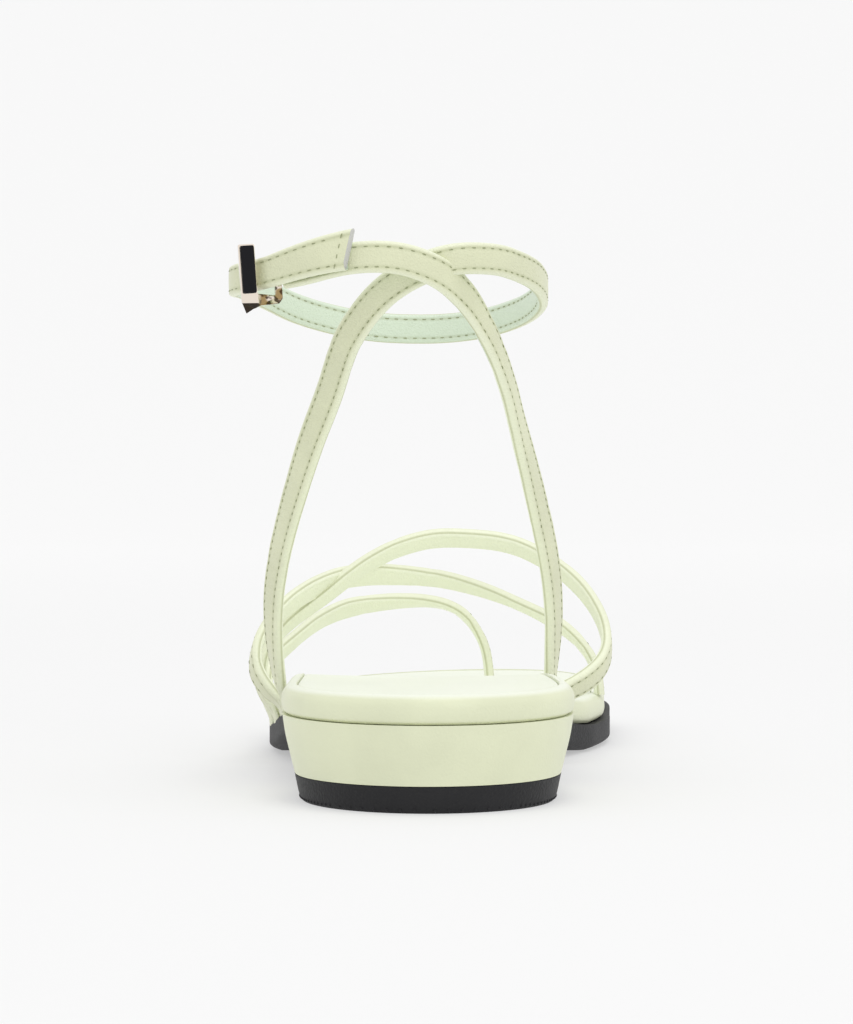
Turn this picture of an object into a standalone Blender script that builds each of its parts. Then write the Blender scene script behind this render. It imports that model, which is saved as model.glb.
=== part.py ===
"""Ankle strap sandal for the left foot, women's size 37, in metres.

X runs from the outer side of the foot (-X) to the inner side (+X), Y from the heel to the
toe, Z up. The origin is on the floor under the middle of the heel. Heights and outlines are
functions of `back`, the distance from the footbed's back edge.
"""
import math
from collections import namedtuple

import bmesh
import bpy
from mathutils import Vector

# Sole sizes
FOOTBED_LENGTH = 0.243
BALL_WIDTH = 0.081
HEEL_WIDTH = 0.062
HEEL_ROUND = 0.038
TOE_START = 0.180
BREAST = 0.066
HEEL_CENTRE = 0.034
OUTSOLE_THICKNESS = 0.0062
FOOTBED_THICKNESS = 0.006
INSOCK_THICKNESS = 0.0008
INSOCK_INSET = 0.0034
LIFT_THICKNESS = 0.0055
BLOCK_HEIGHT = 0.0122
HEEL_TAPER = 0.0028
LIFT_TAPER = 0.0016
TOE_SPRING = 0.0016
TOE_SHIFT = 0.0155
HEEL_CUP = 0.0009
CUP_FADE = 0.75
HEEL_POWER = 2.1
TOE_POWER = 3.0
SPRING_POWER = 1.8

# Strap sizes
STRAP_WIDTH = 0.0066
STRAP_THICKNESS = 0.0024
INSTEP_HEIGHT = 0.040
ANKLE_HEIGHT = 0.090
ANKLE_WIDTH = 0.062
TIP_LENGTH = 0.020
TIP_FLARE = 0.0017
TIP_RISE = 0.0015
ROOT_RISE = 0.0021
FOLD_ROUND = 0.0008
AXIS_HEIGHT = 0.008

# Buckle sizes
FRAME_THICKNESS = 0.0018
FRAME_LEAN = 4
INLAY_WIDTH = 0.0022
INLAY_HEIGHT = 0.0097
INLAY_DEPTH = 0.0006
INLAY_PROUD = 0.0002
EDGE_ROUND = 0.0003

# Clearances
SEAM = 0.0003

# Modelling steps and rows
TIP_ROW = 2
ROUND_STEPS = 9
SIDE_STEPS = 13
STRAP_STEP = 0.005

# Outline of the footbed between heel and toe: `along` is a share of its length, the two
# sides are shares of the ball width, measured from the heel's centre line.
Outline = namedtuple("Outline", "along outer inner")
WAIST = [
    Outline(0.29, 0.378, 0.358),
    Outline(0.43, 0.388, 0.322),
    Outline(0.53, 0.427, 0.382),
    Outline(0.63, 0.458, 0.490),
]
BALL = Outline(0.74, 0.463, 0.544)

# Fall of the footbed from the heel seat to the ball, as a share of the whole drop.
Fall = namedtuple("Fall", "along drop")
ARCH = [
    Fall(0.263, 0.0),
    Fall(0.366, 0.16),
    Fall(0.449, 0.43),
    Fall(0.531, 0.77),
    Fall(0.590, 0.94),
    Fall(0.642, 1.0),
]
SPRING_START = 0.765

# How far the outsole stands out past the footbed, as a share of a strap and its gap.
Lip = namedtuple("Lip", "along outer inner")
LIPS = [
    Lip(0.272, -0.11, -0.11),
    Lip(0.40, 1.0, 1.0),
    Lip(0.50, 1.0, 1.0),
    Lip(0.61, 1.0, 0.5),
    Lip(0.74, 0.4, 0.5),
    Lip(1.0, 0.55, 0.55),
]

# Edge profiles: `inset` and `up` are shares of the piece's own thickness or taper.
Edge = namedtuple("Edge", "inset up")
FOOTBED_EDGE = [
    Edge(0.17, 0.0),
    Edge(0.05, 0.12),
    Edge(0.0, 0.37),
    Edge(0.02, 0.63),
    Edge(0.13, 0.85),
    Edge(0.32, 0.97),
    Edge(0.53, 1.0),
]
OUTSOLE_EDGE = [Edge(0.45, 0.0), Edge(0.15, 0.12), Edge(0.0, 0.32), Edge(0.0, 1.0)]
BLOCK_EDGE = [Edge(1.0, 0.0), Edge(0.62, 0.34), Edge(0.27, 0.68), Edge(0.06, 1.0)]
LIFT_EDGE = [Edge(1.0, 0.0), Edge(0.78, 0.09), Edge(0.55, 0.26), Edge(0.0, 1.0)]

# Instep and toe straps, from root to root. `across` is a share of the ball width, `along`
# of the footbed's length, `above` of the instep height over the footbed, and `lean` says
# how far the outer face looks towards the toe.
Pass = namedtuple("Pass", "across along above lean")
REAR_STRAP_ROOTS = (0.465, 0.539)
REAR_STRAP = [
    Pass(0.390, 0.473, -0.032, -0.2),
    Pass(0.438, 0.483, 0.020, -0.25),
    Pass(0.476, 0.496, 0.082, -0.2),
    Pass(0.507, 0.510, 0.163, -0.1),
    Pass(0.524, 0.526, 0.263, 0.0),
    Pass(0.520, 0.541, 0.387, 0.08),
    Pass(0.489, 0.551, 0.540, 0.2),
    Pass(0.403, 0.562, 0.742, 0.38),
    Pass(0.200, 0.568, 0.937, 0.5),
    Pass(0.036, 0.568, 0.955, 0.52),
    Pass(-0.070, 0.566, 0.908, 0.5),
    Pass(-0.168, 0.564, 0.813, 0.45),
    Pass(-0.244, 0.562, 0.703, 0.4),
    Pass(-0.311, 0.558, 0.589, 0.3),
    Pass(-0.425, 0.551, 0.410, 0.15),
    Pass(-0.489, 0.543, 0.201, -0.15),
    Pass(-0.496, 0.541, 0.081, -0.25),
]
FRONT_STRAP_ROOT = 0.477
FRONT_STRAP = [
    Pass(0.516, 0.704, 0.155, 0.05),
    Pass(0.483, 0.7035, 0.275, 0.12),
    Pass(0.428, 0.7015, 0.385, 0.25),
    Pass(0.354, 0.6975, 0.482, 0.35),
    Pass(0.282, 0.687, 0.55, 0.4),
    Pass(0.212, 0.673, 0.613, 0.42),
    Pass(0.036, 0.642, 0.722, 0.43),
    Pass(-0.077, 0.613, 0.744, 0.43),
    Pass(-0.171, 0.591, 0.745, 0.42),
    Pass(-0.257, 0.565, 0.713, 0.38),
    Pass(-0.318, 0.545, 0.656, 0.32),
    Pass(-0.377, 0.525, 0.573, 0.24),
    Pass(-0.424, 0.514, 0.489, 0.16),
    Pass(-0.468, 0.502, 0.367, 0.0),
    Pass(-0.501, 0.490, 0.221, -0.15),
    Pass(-0.501, 0.483, 0.100, -0.3),
    Pass(-0.469, 0.478, -0.001, -0.3),
]
FRONT_SLOT = (0.524, 0.708)
TOE_STRAP_ROOT = 0.597
TOE_STRAP = [
    Pass(-0.481, 0.603, 0.105, -0.25),
    Pass(-0.477, 0.615, 0.198, -0.3),
    Pass(-0.425, 0.642, 0.310, -0.35),
    Pass(-0.331, 0.691, 0.455, -0.3),
    Pass(-0.246, 0.728, 0.520, -0.1),
    Pass(-0.068, 0.774, 0.552, 0.05),
    Pass(0.035, 0.794, 0.535, 0.08),
    Pass(0.091, 0.802, 0.495, 0.06),
    Pass(0.144, 0.815, 0.382, 0.03),
    Pass(0.185, 0.823, 0.215, 0.0),
]
TOE_POST = (0.196, 0.827)

# Ankle straps from the root up: `across` is a share of the ankle width, `above` of the
# ankle height over the heel seat's drop line, and `face` is the way the outer face looks,
# in degrees from straight back towards the outer side.
Turn = namedtuple("Turn", "across along above face")
ANKLE_ROOT = 0.428
LONG_STRAP = [
    Turn(-0.558, 0.420, -0.000, 80),
    Turn(-0.576, 0.405, 0.097, 66),
    Turn(-0.577, 0.387, 0.168, 60),
    Turn(-0.561, 0.364, 0.239, 58),
    Turn(-0.527, 0.331, 0.332, 54),
    Turn(-0.484, 0.296, 0.418, 44),
    Turn(-0.444, 0.263, 0.497, 36),
    Turn(-0.397, 0.224, 0.593, 28),
    Turn(-0.347, 0.187, 0.689, 26),
    Turn(-0.294, 0.154, 0.782, 25),
    Turn(-0.211, 0.123, 0.869, 20),
    Turn(-0.134, 0.101, 0.922, 8),
    Turn(0.000, 0.085, 0.971, -12),
    Turn(0.107, 0.087, 0.990, -25),
    Turn(0.229, 0.109, 0.989, -45),
    Turn(0.311, 0.140, 0.974, -62),
    Turn(0.366, 0.167, 0.959, -73),
    Turn(0.400, 0.216, 0.924, -90),
    Turn(0.368, 0.261, 0.896, -107),
    Turn(0.287, 0.309, 0.878, -128),
    Turn(0.160, 0.344, 0.867, -148),
    Turn(0.000, 0.366, 0.866, -166),
    Turn(-0.153, 0.368, 0.869, -184),
    Turn(-0.298, 0.358, 0.880, -200),
    Turn(-0.403, 0.342, 0.892, -212),
    Turn(-0.489, 0.321, 0.905, -221),
    Turn(-0.565, 0.290, 0.924, -234),
    Turn(-0.623, 0.251, 0.937, -248),
    Turn(-0.655, 0.202, 0.945, -264),
    Turn(-0.661, 0.156, 0.942, -275),
    Turn(-0.656, 0.139, 0.943, -287),
    Turn(-0.639, 0.126, 0.945, -305),
    Turn(-0.603, 0.114, 0.949, -320),
    Turn(-0.548, 0.102, 0.954, -322),
]
SHORT_STRAP = [
    Turn(0.448, 0.420, 0.026, -72),
    Turn(0.464, 0.409, 0.073, -65),
    Turn(0.471, 0.395, 0.133, -60),
    Turn(0.464, 0.376, 0.204, -58),
    Turn(0.434, 0.340, 0.309, -54),
    Turn(0.395, 0.302, 0.402, -53),
    Turn(0.358, 0.263, 0.497, -60),
    Turn(0.316, 0.224, 0.593, -71),
    Turn(0.279, 0.187, 0.689, -74),
    Turn(0.230, 0.154, 0.782, -73),
    Turn(0.177, 0.130, 0.850, -66),
    Turn(0.143, 0.116, 0.887, -58),
    Turn(0.090, 0.100, 0.922, -45),
    Turn(0.042, 0.086, 0.951, -30),
    Turn(-0.013, 0.075, 0.969, -16),
]
BUCKLE_STRAP = [
    Turn(-0.093, 0.067, 0.988, -3),
    Turn(-0.173, 0.068, 0.991, 5),
    Turn(-0.252, 0.072, 0.988, 14),
    Turn(-0.332, 0.080, 0.978, 22),
    Turn(-0.413, 0.090, 0.962, 30),
    Turn(-0.478, 0.1015, 0.956, 36),
]
BUCKLE = Turn(-0.603, 0.0965, 0.952, -8)


# Buckle frame seen from outside, from the front bar's upper end round to its foot: `right`
# and `up` are shares of the strap width from the bar's middle at the strap's centre line,
# `inward` is how far the frame is bent in there, and the drawn columns say how far its
# inner side is shifted to the left and down.
Corner = namedtuple("Corner", "right up inward drawn_left drawn_down")
BAR_SHARE = 0.26
BAR_TOP = 0.95
FRAME = [
    Corner(-BAR_SHARE, BAR_TOP, 0.0, 0.0, 0.0),
    Corner(BAR_SHARE, BAR_TOP, 0.0, 0.0, 0.0),
    Corner(BAR_SHARE, -0.62, 0.0, 0.0, 0.0),
    Corner(0.86, -0.70, 0.34, 0.0, 0.0),
    Corner(0.86, 0.50, 0.34, 0.0, 0.0),
    Corner(1.08, 0.50, 0.34, 0.0, 0.0),
    Corner(1.08, -0.82, 0.34, 0.0, 0.0),
    Corner(0.96, -0.97, 0.34, 0.0, 0.0),
    Corner(0.36, -0.99, 0.1, 0.0, 0.0),
    Corner(0.29, -0.93, 0.0, 0.14, 0.16),
    Corner(-BAR_SHARE, -0.90, 0.0, -0.14, 0.34),
]


def through(places, values, at, flat_ends=False):
    """Smooth curve through the values that never swings past them."""
    if at <= places[0]:
        return values[0]
    if at >= places[-1]:
        return values[-1]
    last = len(places) - 1
    spans = [places[i + 1] - places[i] for i in range(last)]
    slopes = [(values[i + 1] - values[i]) / spans[i] for i in range(last)]

    def tangent(i):
        if i in (0, last):
            return 0.0 if flat_ends else slopes[min(i, last - 1)]
        before, after = slopes[i - 1], slopes[i]
        if before * after <= 0.0:
            return 0.0
        near = 2.0 * spans[i] + spans[i - 1]
        far = spans[i] + 2.0 * spans[i - 1]
        return (near + far) / (near / before + far / after)

    i = max(k for k in range(last) if places[k] <= at)
    span = spans[i]
    t = (at - places[i]) / span
    rise = (2 * t - 3) * t * t + 1
    return (
        rise * values[i]
        + (1 - rise) * values[i + 1]
        + (t - 1) ** 2 * t * span * tangent(i)
        + (t - 1) * t * t * span * tangent(i + 1)
    )


def side_width(back, side):
    """Distance of the footbed's edge from the heel's centre line; side is "outer" or "inner"."""
    heel = HEEL_WIDTH / 2
    if back < HEEL_ROUND:
        return heel * math.sqrt(max(0.0, 1 - (1 - back / HEEL_ROUND) ** HEEL_POWER))
    rows = WAIST + [BALL]
    places = [HEEL_ROUND] + [row.along * FOOTBED_LENGTH for row in rows[:-1]] + [TOE_START]
    widths = [heel] + [getattr(row, side) * BALL_WIDTH for row in rows]
    if back <= TOE_START:
        return through(places, widths, back, flat_ends=True)
    share = min(1.0, (back - TOE_START) / (FOOTBED_LENGTH - TOE_START))
    half = (BALL.outer + BALL.inner) * BALL_WIDTH / 2
    middle = (BALL.inner - BALL.outer) * BALL_WIDTH / 2
    centre = middle + TOE_SHIFT * share ** 2
    reach = half * math.sqrt(max(0.0, 1 - share ** TOE_POWER))
    return reach + (centre if side == "inner" else -centre)


def footbed_top(back):
    """Height of the footbed's rim."""
    forepart = OUTSOLE_THICKNESS + SEAM + FOOTBED_THICKNESS
    seat = LIFT_THICKNESS + BLOCK_HEIGHT + 2 * SEAM + FOOTBED_THICKNESS
    places = [row.along * FOOTBED_LENGTH for row in ARCH]
    drop = through(places, [row.drop for row in ARCH], back, flat_ends=True)
    height = seat + (forepart - seat) * drop
    start = SPRING_START * FOOTBED_LENGTH
    if back > start:
        height += TOE_SPRING * ((back - start) / (FOOTBED_LENGTH - start)) ** SPRING_POWER
    return height


def cupped_top(x, back):
    """Height of the footbed's upper side, hollowed under the heel."""
    near = min(max(back, INSOCK_INSET), FOOTBED_LENGTH - INSOCK_INSET)
    inner, outer = side_width(near, "inner"), side_width(near, "outer")
    share = (x - (inner - outer) / 2) / ((inner + outer) / 2)
    fade = 1.0 - CUP_FADE * near / FOOTBED_LENGTH
    return footbed_top(back) - HEEL_CUP * fade * max(0.0, 1 - share * share)


def lip(back, turn):
    """How far the outsole stands out; turn is the edge's outward X, from -1 to 1."""
    places = [row.along * FOOTBED_LENGTH for row in LIPS]
    outer = through(places, [row.outer for row in LIPS], back, flat_ends=True)
    inner = through(places, [row.inner for row in LIPS], back, flat_ends=True)
    share = (turn + 1) / 2
    return (STRAP_THICKNESS + SEAM) * (outer * (1 - share) + inner * share)


def outsole_top(back):
    return footbed_top(back) - FOOTBED_THICKNESS - SEAM


def stations(start, end, heel_tip, toe_tip):
    """Distances from the back edge, close together round the heel and the toe."""
    found = []
    if heel_tip:
        angles = [90 * i / ROUND_STEPS for i in range(1, ROUND_STEPS)]
        found += [HEEL_ROUND * (1 - math.cos(math.radians(a))) for a in angles]
    first = HEEL_ROUND if heel_tip else start
    last = TOE_START if toe_tip else end
    steps = max(2, round(SIDE_STEPS * (last - first) / (TOE_START - HEEL_ROUND)))
    found += [first + (last - first) * i / steps for i in range(steps + 1)]
    if toe_tip:
        length = FOOTBED_LENGTH - TOE_START
        angles = [90 * i / ROUND_STEPS for i in range(1, ROUND_STEPS)]
        found += [TOE_START + length * math.sin(math.radians(a)) for a in angles]
    return found


def outline(start=0.0, end=FOOTBED_LENGTH):
    """Ring of edge points with outward normals: outer side forwards, inner side back."""
    heel_tip, toe_tip = start == 0.0, end == FOOTBED_LENGTH
    backs = stations(start, end, heel_tip, toe_tip)
    outer = [(-side_width(b, "outer"), b) for b in backs]
    inner = [(side_width(b, "inner"), b) for b in backs]
    points = list(outer)
    if toe_tip:
        tip = (side_width(FOOTBED_LENGTH, "inner"), FOOTBED_LENGTH)
        points.append(tip)
    points += reversed(inner)
    if heel_tip:
        points.insert(0, (0.0, 0.0))
    count = len(points)
    cut_ends = set()
    if not heel_tip:
        cut_ends |= {0, count - 1}
    if not toe_tip:
        front = len(outer) + (1 if heel_tip else 0)
        cut_ends |= {front - 1, front}
    normals = []
    for i, point in enumerate(points):
        if i in cut_ends:
            normals.append((math.copysign(1.0, point[0]), 0.0))
            continue
        before, after = points[i - 1], points[(i + 1) % count]
        dx, dy = after[0] - before[0], after[1] - before[1]
        size = math.hypot(dx, dy)
        normals.append((-dy / size, dx / size))
    return {
        "points": points,
        "normals": normals,
        "pairs": len(backs),
        "heel_tip": heel_tip,
        "toe_tip": toe_tip,
    }


def place(x, back, z):
    return Vector((x, back - HEEL_CENTRE, z))


def ring_of(shape, inset, height):
    """One ring of vertices; inset and height are numbers or functions."""
    ring = []
    for (x, back), (nx, ny) in zip(shape["points"], shape["normals"]):
        step = inset(back, nx) if callable(inset) else inset
        px, pb = x - nx * step, back - ny * step
        ring.append(place(px, pb, height(px, pb)))
    return ring


def fill_across(bm, shape, ring, columns, height):
    """Closes a ring with rows of faces that run from side to side."""
    offset = 1 if shape["heel_tip"] else 0
    rows = []
    for k in range(shape["pairs"]):
        left, right = ring[offset + k], ring[-1 - k]
        row = [left]
        for c in range(1, columns + 1):
            spot = left.co.lerp(right.co, c / (columns + 1))
            spot.z = height(spot.x, spot.y + HEEL_CENTRE)
            row.append(bm.verts.new(spot))
        row.append(right)
        rows.append(row)
    for row, following in zip(rows, rows[1:]):
        for c in range(len(row) - 1):
            bm.faces.new((row[c], following[c], following[c + 1], row[c + 1]))
    if shape["heel_tip"]:
        for c in range(len(rows[0]) - 1):
            bm.faces.new((ring[0], rows[0][c], rows[0][c + 1]))
    if shape["toe_tip"]:
        tip = ring[offset + shape["pairs"]]
        for c in range(len(rows[-1]) - 1):
            bm.faces.new((tip, rows[-1][c + 1], rows[-1][c]))


def bridge(bm, low, high):
    count = len(low)
    for i in range(count):
        j = (i + 1) % count
        bm.faces.new((low[i], low[j], high[j], high[i]))


def material(name, colour, roughness, metallic=0.0):
    made = bpy.data.materials.new(name)
    made.use_nodes = True
    shader = made.node_tree.nodes["Principled BSDF"]
    shader.inputs["Base Color"].default_value = (*colour, 1.0)
    shader.inputs["Roughness"].default_value = roughness
    shader.inputs["Metallic"].default_value = metallic
    return made


def finish(name, bm, finish_material, sharp=math.radians(40)):
    """Turns the bmesh into a smooth-shaded object of triangles."""
    bmesh.ops.recalc_face_normals(bm, faces=bm.faces)
    bmesh.ops.triangulate(bm, faces=bm.faces)
    mesh = bpy.data.meshes.new(name)
    bm.to_mesh(mesh)
    bm.free()
    mesh.shade_smooth()
    mesh.set_sharp_from_angle(angle=sharp)
    mesh.materials.append(finish_material)
    made = bpy.data.objects.new(name, mesh)
    bpy.context.scene.collection.objects.link(made)
    return made


def ring_solid(name, shape, layers, finish_material, columns=0):
    """Solid made of rings from the bottom up; each layer is an inset and a height."""
    bm = bmesh.new()
    rings = [[bm.verts.new(co) for co in ring_of(shape, *layer)] for layer in layers]
    for low, high in zip(rings, rings[1:]):
        bridge(bm, low, high)
    fill_across(bm, shape, rings[0], 0, layers[0][1])
    fill_across(bm, shape, rings[-1], columns, layers[-1][1])
    return finish(name, bm, finish_material)


def level(height):
    return lambda x, back: height


def make_outsole(rubber):
    shape = outline(start=BREAST + SEAM)
    layers = []
    for edge in OUTSOLE_EDGE:
        down = (1 - edge.up) * OUTSOLE_THICKNESS
        layers.append(
            (
                lambda back, turn, e=edge: e.inset * OUTSOLE_THICKNESS - lip(back, turn),
                lambda x, back, d=down: outsole_top(back) - d,
            )
        )
    return ring_solid("outsole", shape, layers, rubber)


def make_heel_lift(rubber):
    shape = outline(end=BREAST)
    layers = [
        (HEEL_TAPER + edge.inset * LIFT_TAPER, level(edge.up * LIFT_THICKNESS))
        for edge in LIFT_EDGE
    ]
    return ring_solid("heel_lift", shape, layers, rubber)


def make_heel_block(leather):
    shape = outline(end=BREAST)
    base = LIFT_THICKNESS + SEAM
    layers = [(edge.inset * HEEL_TAPER, level(base + edge.up * BLOCK_HEIGHT)) for edge in BLOCK_EDGE]
    return ring_solid("heel_block", shape, layers, leather)


def make_footbed(leather):
    shape = outline()
    layers = []
    for edge in FOOTBED_EDGE:
        down = (1 - edge.up) * FOOTBED_THICKNESS
        layers.append(
            (
                edge.inset * FOOTBED_THICKNESS,
                lambda x, back, d=down: footbed_top(back) - d,
            )
        )
    depth = INSOCK_THICKNESS + SEAM
    layers.append((INSOCK_INSET, lambda x, back: cupped_top(x, back) - depth))
    return ring_solid("footbed", shape, layers, leather, columns=3)


def make_insock(lining):
    shape = outline()
    inset = INSOCK_INSET + SEAM
    layers = [
        (inset, lambda x, back: cupped_top(x, back) - INSOCK_THICKNESS),
        (inset, cupped_top),
    ]
    return ring_solid("insock", shape, layers, lining, columns=3)


def edge_normal(back, side):
    """Outward direction of the footbed's edge, seen from above."""
    step = 0.001
    slope = (side_width(back + step, side) - side_width(back - step, side)) / (2 * step)
    sign = 1.0 if side == "inner" else -1.0
    return Vector((sign, -slope, 0.0)).normalized()


def strap_root(along, side):
    """Two points and the normal of a strap's end, standing on the outsole's lip."""
    back = along * FOOTBED_LENGTH
    sign = 1.0 if side == "inner" else -1.0
    normal = edge_normal(back, side)
    centre = place(sign * side_width(back, side), back, 0.0)
    centre += normal * (SEAM + STRAP_THICKNESS / 2)
    foot = Vector((centre.x, centre.y, outsole_top(back) + SEAM))
    knee = foot + Vector((0.0, 0.0, ROOT_RISE))
    return [foot, knee], normal


def smooth_path(points, normals):
    """Evenly spaced points, tangents and normals along a smooth curve."""
    places = [0.0]
    for before, after in zip(points, points[1:]):
        places.append(places[-1] + (after - before).length)
    steps = round(places[-1] / STRAP_STEP)
    marks = [places[-1] * i / steps for i in range(steps + 1)]

    def read(vectors, at):
        return Vector([through(places, [v[axis] for v in vectors], at) for axis in range(3)])

    small = SEAM / 3
    path = []
    for mark in marks:
        low, high = max(0.0, mark - small), min(places[-1], mark + small)
        tangent = (read(points, high) - read(points, low)).normalized()
        normal = read(normals, mark)
        normal = (normal - tangent * normal.dot(tangent)).normalized()
        path.append((read(points, mark), tangent, normal))
    return path


def strap_profile(width):
    """Half of the folded edge on each side of a flat strap: (along the width, out)."""
    half, thick = width / 2, STRAP_THICKNESS / 2
    corner = [(half - FOLD_ROUND, thick), (half - FOLD_ROUND / 5, thick * 0.55), (half, 0.0)]
    right = corner + [(w, -n) for w, n in reversed(corner[:-1])]
    return right + [(-w, -n) for w, n in right]


def sweep(name, path, leather, trims=(None, None), widths=None):
    """Solid strap along a path; a trim gives the height that an end is cut to."""
    bm = bmesh.new()
    rings = []
    for i, (centre, tangent, normal) in enumerate(path):
        across = tangent.cross(normal)
        profile = strap_profile(widths[i] if widths else STRAP_WIDTH)
        rings.append([centre + across * w + normal * n for w, n in profile])
    for end, trim in zip((0, -1), trims):
        if trim:
            for co in rings[end]:
                co.z = trim(co.x, co.y + HEEL_CENTRE)
    rings = [[bm.verts.new(co) for co in ring] for ring in rings]
    for low, high in zip(rings, rings[1:]):
        bridge(bm, low, high)
    bm.faces.new(rings[0])
    bm.faces.new(rings[-1])
    return finish(name, bm, leather, sharp=math.radians(60))


def on_lip(x, back):
    return outsole_top(back) + SEAM


def on_rim(x, back):
    return footbed_top(back) + SEAM


def on_insock(x, back):
    return cupped_top(x, back) + SEAM


def pass_points(rows):
    """Points and outward hints of a strap that passes over the foot."""
    points, normals = [], []
    middle = (BALL.inner - BALL.outer) * BALL_WIDTH / 2
    for row in rows:
        back = row.along * FOOTBED_LENGTH
        rim = footbed_top(back)
        point = place(row.across * BALL_WIDTH, back, rim + row.above * INSTEP_HEIGHT)
        out = Vector((point.x - middle, 0.0, point.z - rim - AXIS_HEIGHT)).normalized()
        points.append(point)
        normals.append(out * math.sqrt(1 - row.lean ** 2) + Vector((0.0, row.lean, 0.0)))
    return points, normals


def post(spot, trim):
    """Foot of a strap that goes down through the footbed's top; spot is a pair of shares."""
    x, back = spot[0] * BALL_WIDTH, spot[1] * FOOTBED_LENGTH
    return place(x, back, trim(x, back))


def rear_strap(leather):
    start, start_normal = strap_root(REAR_STRAP_ROOTS[0], "inner")
    end, end_normal = strap_root(REAR_STRAP_ROOTS[1], "outer")
    points, normals = pass_points(REAR_STRAP)
    points = start + points + end[::-1]
    normals = [start_normal] * 2 + normals + [end_normal] * 2
    return sweep("instep_straps", smooth_path(points, normals), leather, (on_lip, on_lip))


def front_strap(leather):
    end, end_normal = strap_root(FRONT_STRAP_ROOT, "outer")
    points, normals = pass_points(FRONT_STRAP)
    points = [post(FRONT_SLOT, on_rim)] + points + end[::-1]
    normals = [normals[0]] + normals + [end_normal] * 2
    return sweep("front_strap", smooth_path(points, normals), leather, (on_rim, on_lip))


def unite(base, other):
    """Joins another solid to the base, which keeps its name."""
    other.hide_render = True
    other.display_type = "WIRE"
    joined = base.modifiers.new("joined", "BOOLEAN")
    joined.operation = "UNION"
    joined.solver = "EXACT"
    joined.object = other


def make_instep_straps(leather):
    unite(rear_strap(leather), front_strap(leather))


def make_toe_strap(leather):
    start, start_normal = strap_root(TOE_STRAP_ROOT, "outer")
    points, normals = pass_points(TOE_STRAP)
    points = start + points + [post(TOE_POST, on_insock)]
    normals = [start_normal] * 2 + normals + [Vector((1.0, 0.0, 0.0))]
    sweep("toe_strap", smooth_path(points, normals), leather, (on_lip, on_insock))


def facing(degrees):
    angle = math.radians(degrees)
    return Vector((-math.sin(angle), -math.cos(angle), 0.0))


def turn_point(row):
    back = row.along * FOOTBED_LENGTH
    height = footbed_top(back) + row.above * ANKLE_HEIGHT
    return place(row.across * ANKLE_WIDTH, back, height)


def turn_points(rows):
    return [turn_point(row) for row in rows], [facing(row.face) for row in rows]


def long_strap_path():
    """Outer root, up behind the heel, round the ankle and back over the buckle strap."""
    start, start_normal = strap_root(ANKLE_ROOT, "outer")
    points, normals = turn_points(LONG_STRAP)
    under, under_normals = turn_points(BUCKLE_STRAP[:TIP_ROW - 1:-1])
    layer = STRAP_THICKNESS + SEAM
    for i, (point, normal) in enumerate(zip(under, under_normals)):
        rise = TIP_RISE if i else TIP_RISE / 2
        points.append(point + normal * layer + Vector((0.0, 0.0, rise)))
        normals.append(normal)
    return smooth_path(start + points, [start_normal] * 2 + normals)


def short_strap_path():
    """Inner root, up behind the heel over the long strap and on to the buckle."""
    start, start_normal = strap_root(ANKLE_ROOT, "inner")
    points, normals = turn_points(SHORT_STRAP + BUCKLE_STRAP)
    return smooth_path(start + points, [start_normal] * 2 + normals)


def make_ankle_straps(leather):
    path = long_strap_path()
    tip = round(TIP_LENGTH / STRAP_STEP)
    widths = [STRAP_WIDTH] * len(path)
    for i in range(tip):
        widths[-1 - i] += TIP_FLARE * (1 - i / tip)
    straps = sweep("ankle_straps", path, leather, (on_lip, None), widths)
    unite(straps, sweep("ankle_strap_short", short_strap_path(), leather, (on_lip, None)))
    return straps


def prism(name, front, rear, axes, finish_material):
    """Solid between two drawn outlines; axes are the centre, right, up and outward."""
    centre, right, up, out = axes
    bm = bmesh.new()
    ends = []
    for drawn in (front, rear):
        ring = [centre + right * a + up * b + out * c for a, b, c in drawn]
        ends.append([bm.verts.new(co) for co in ring])
    bridge(bm, *ends)
    bm.faces.new(ends[0])
    bm.faces.new(ends[1])
    return finish(name, bm, finish_material, sharp=math.radians(30))


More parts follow.
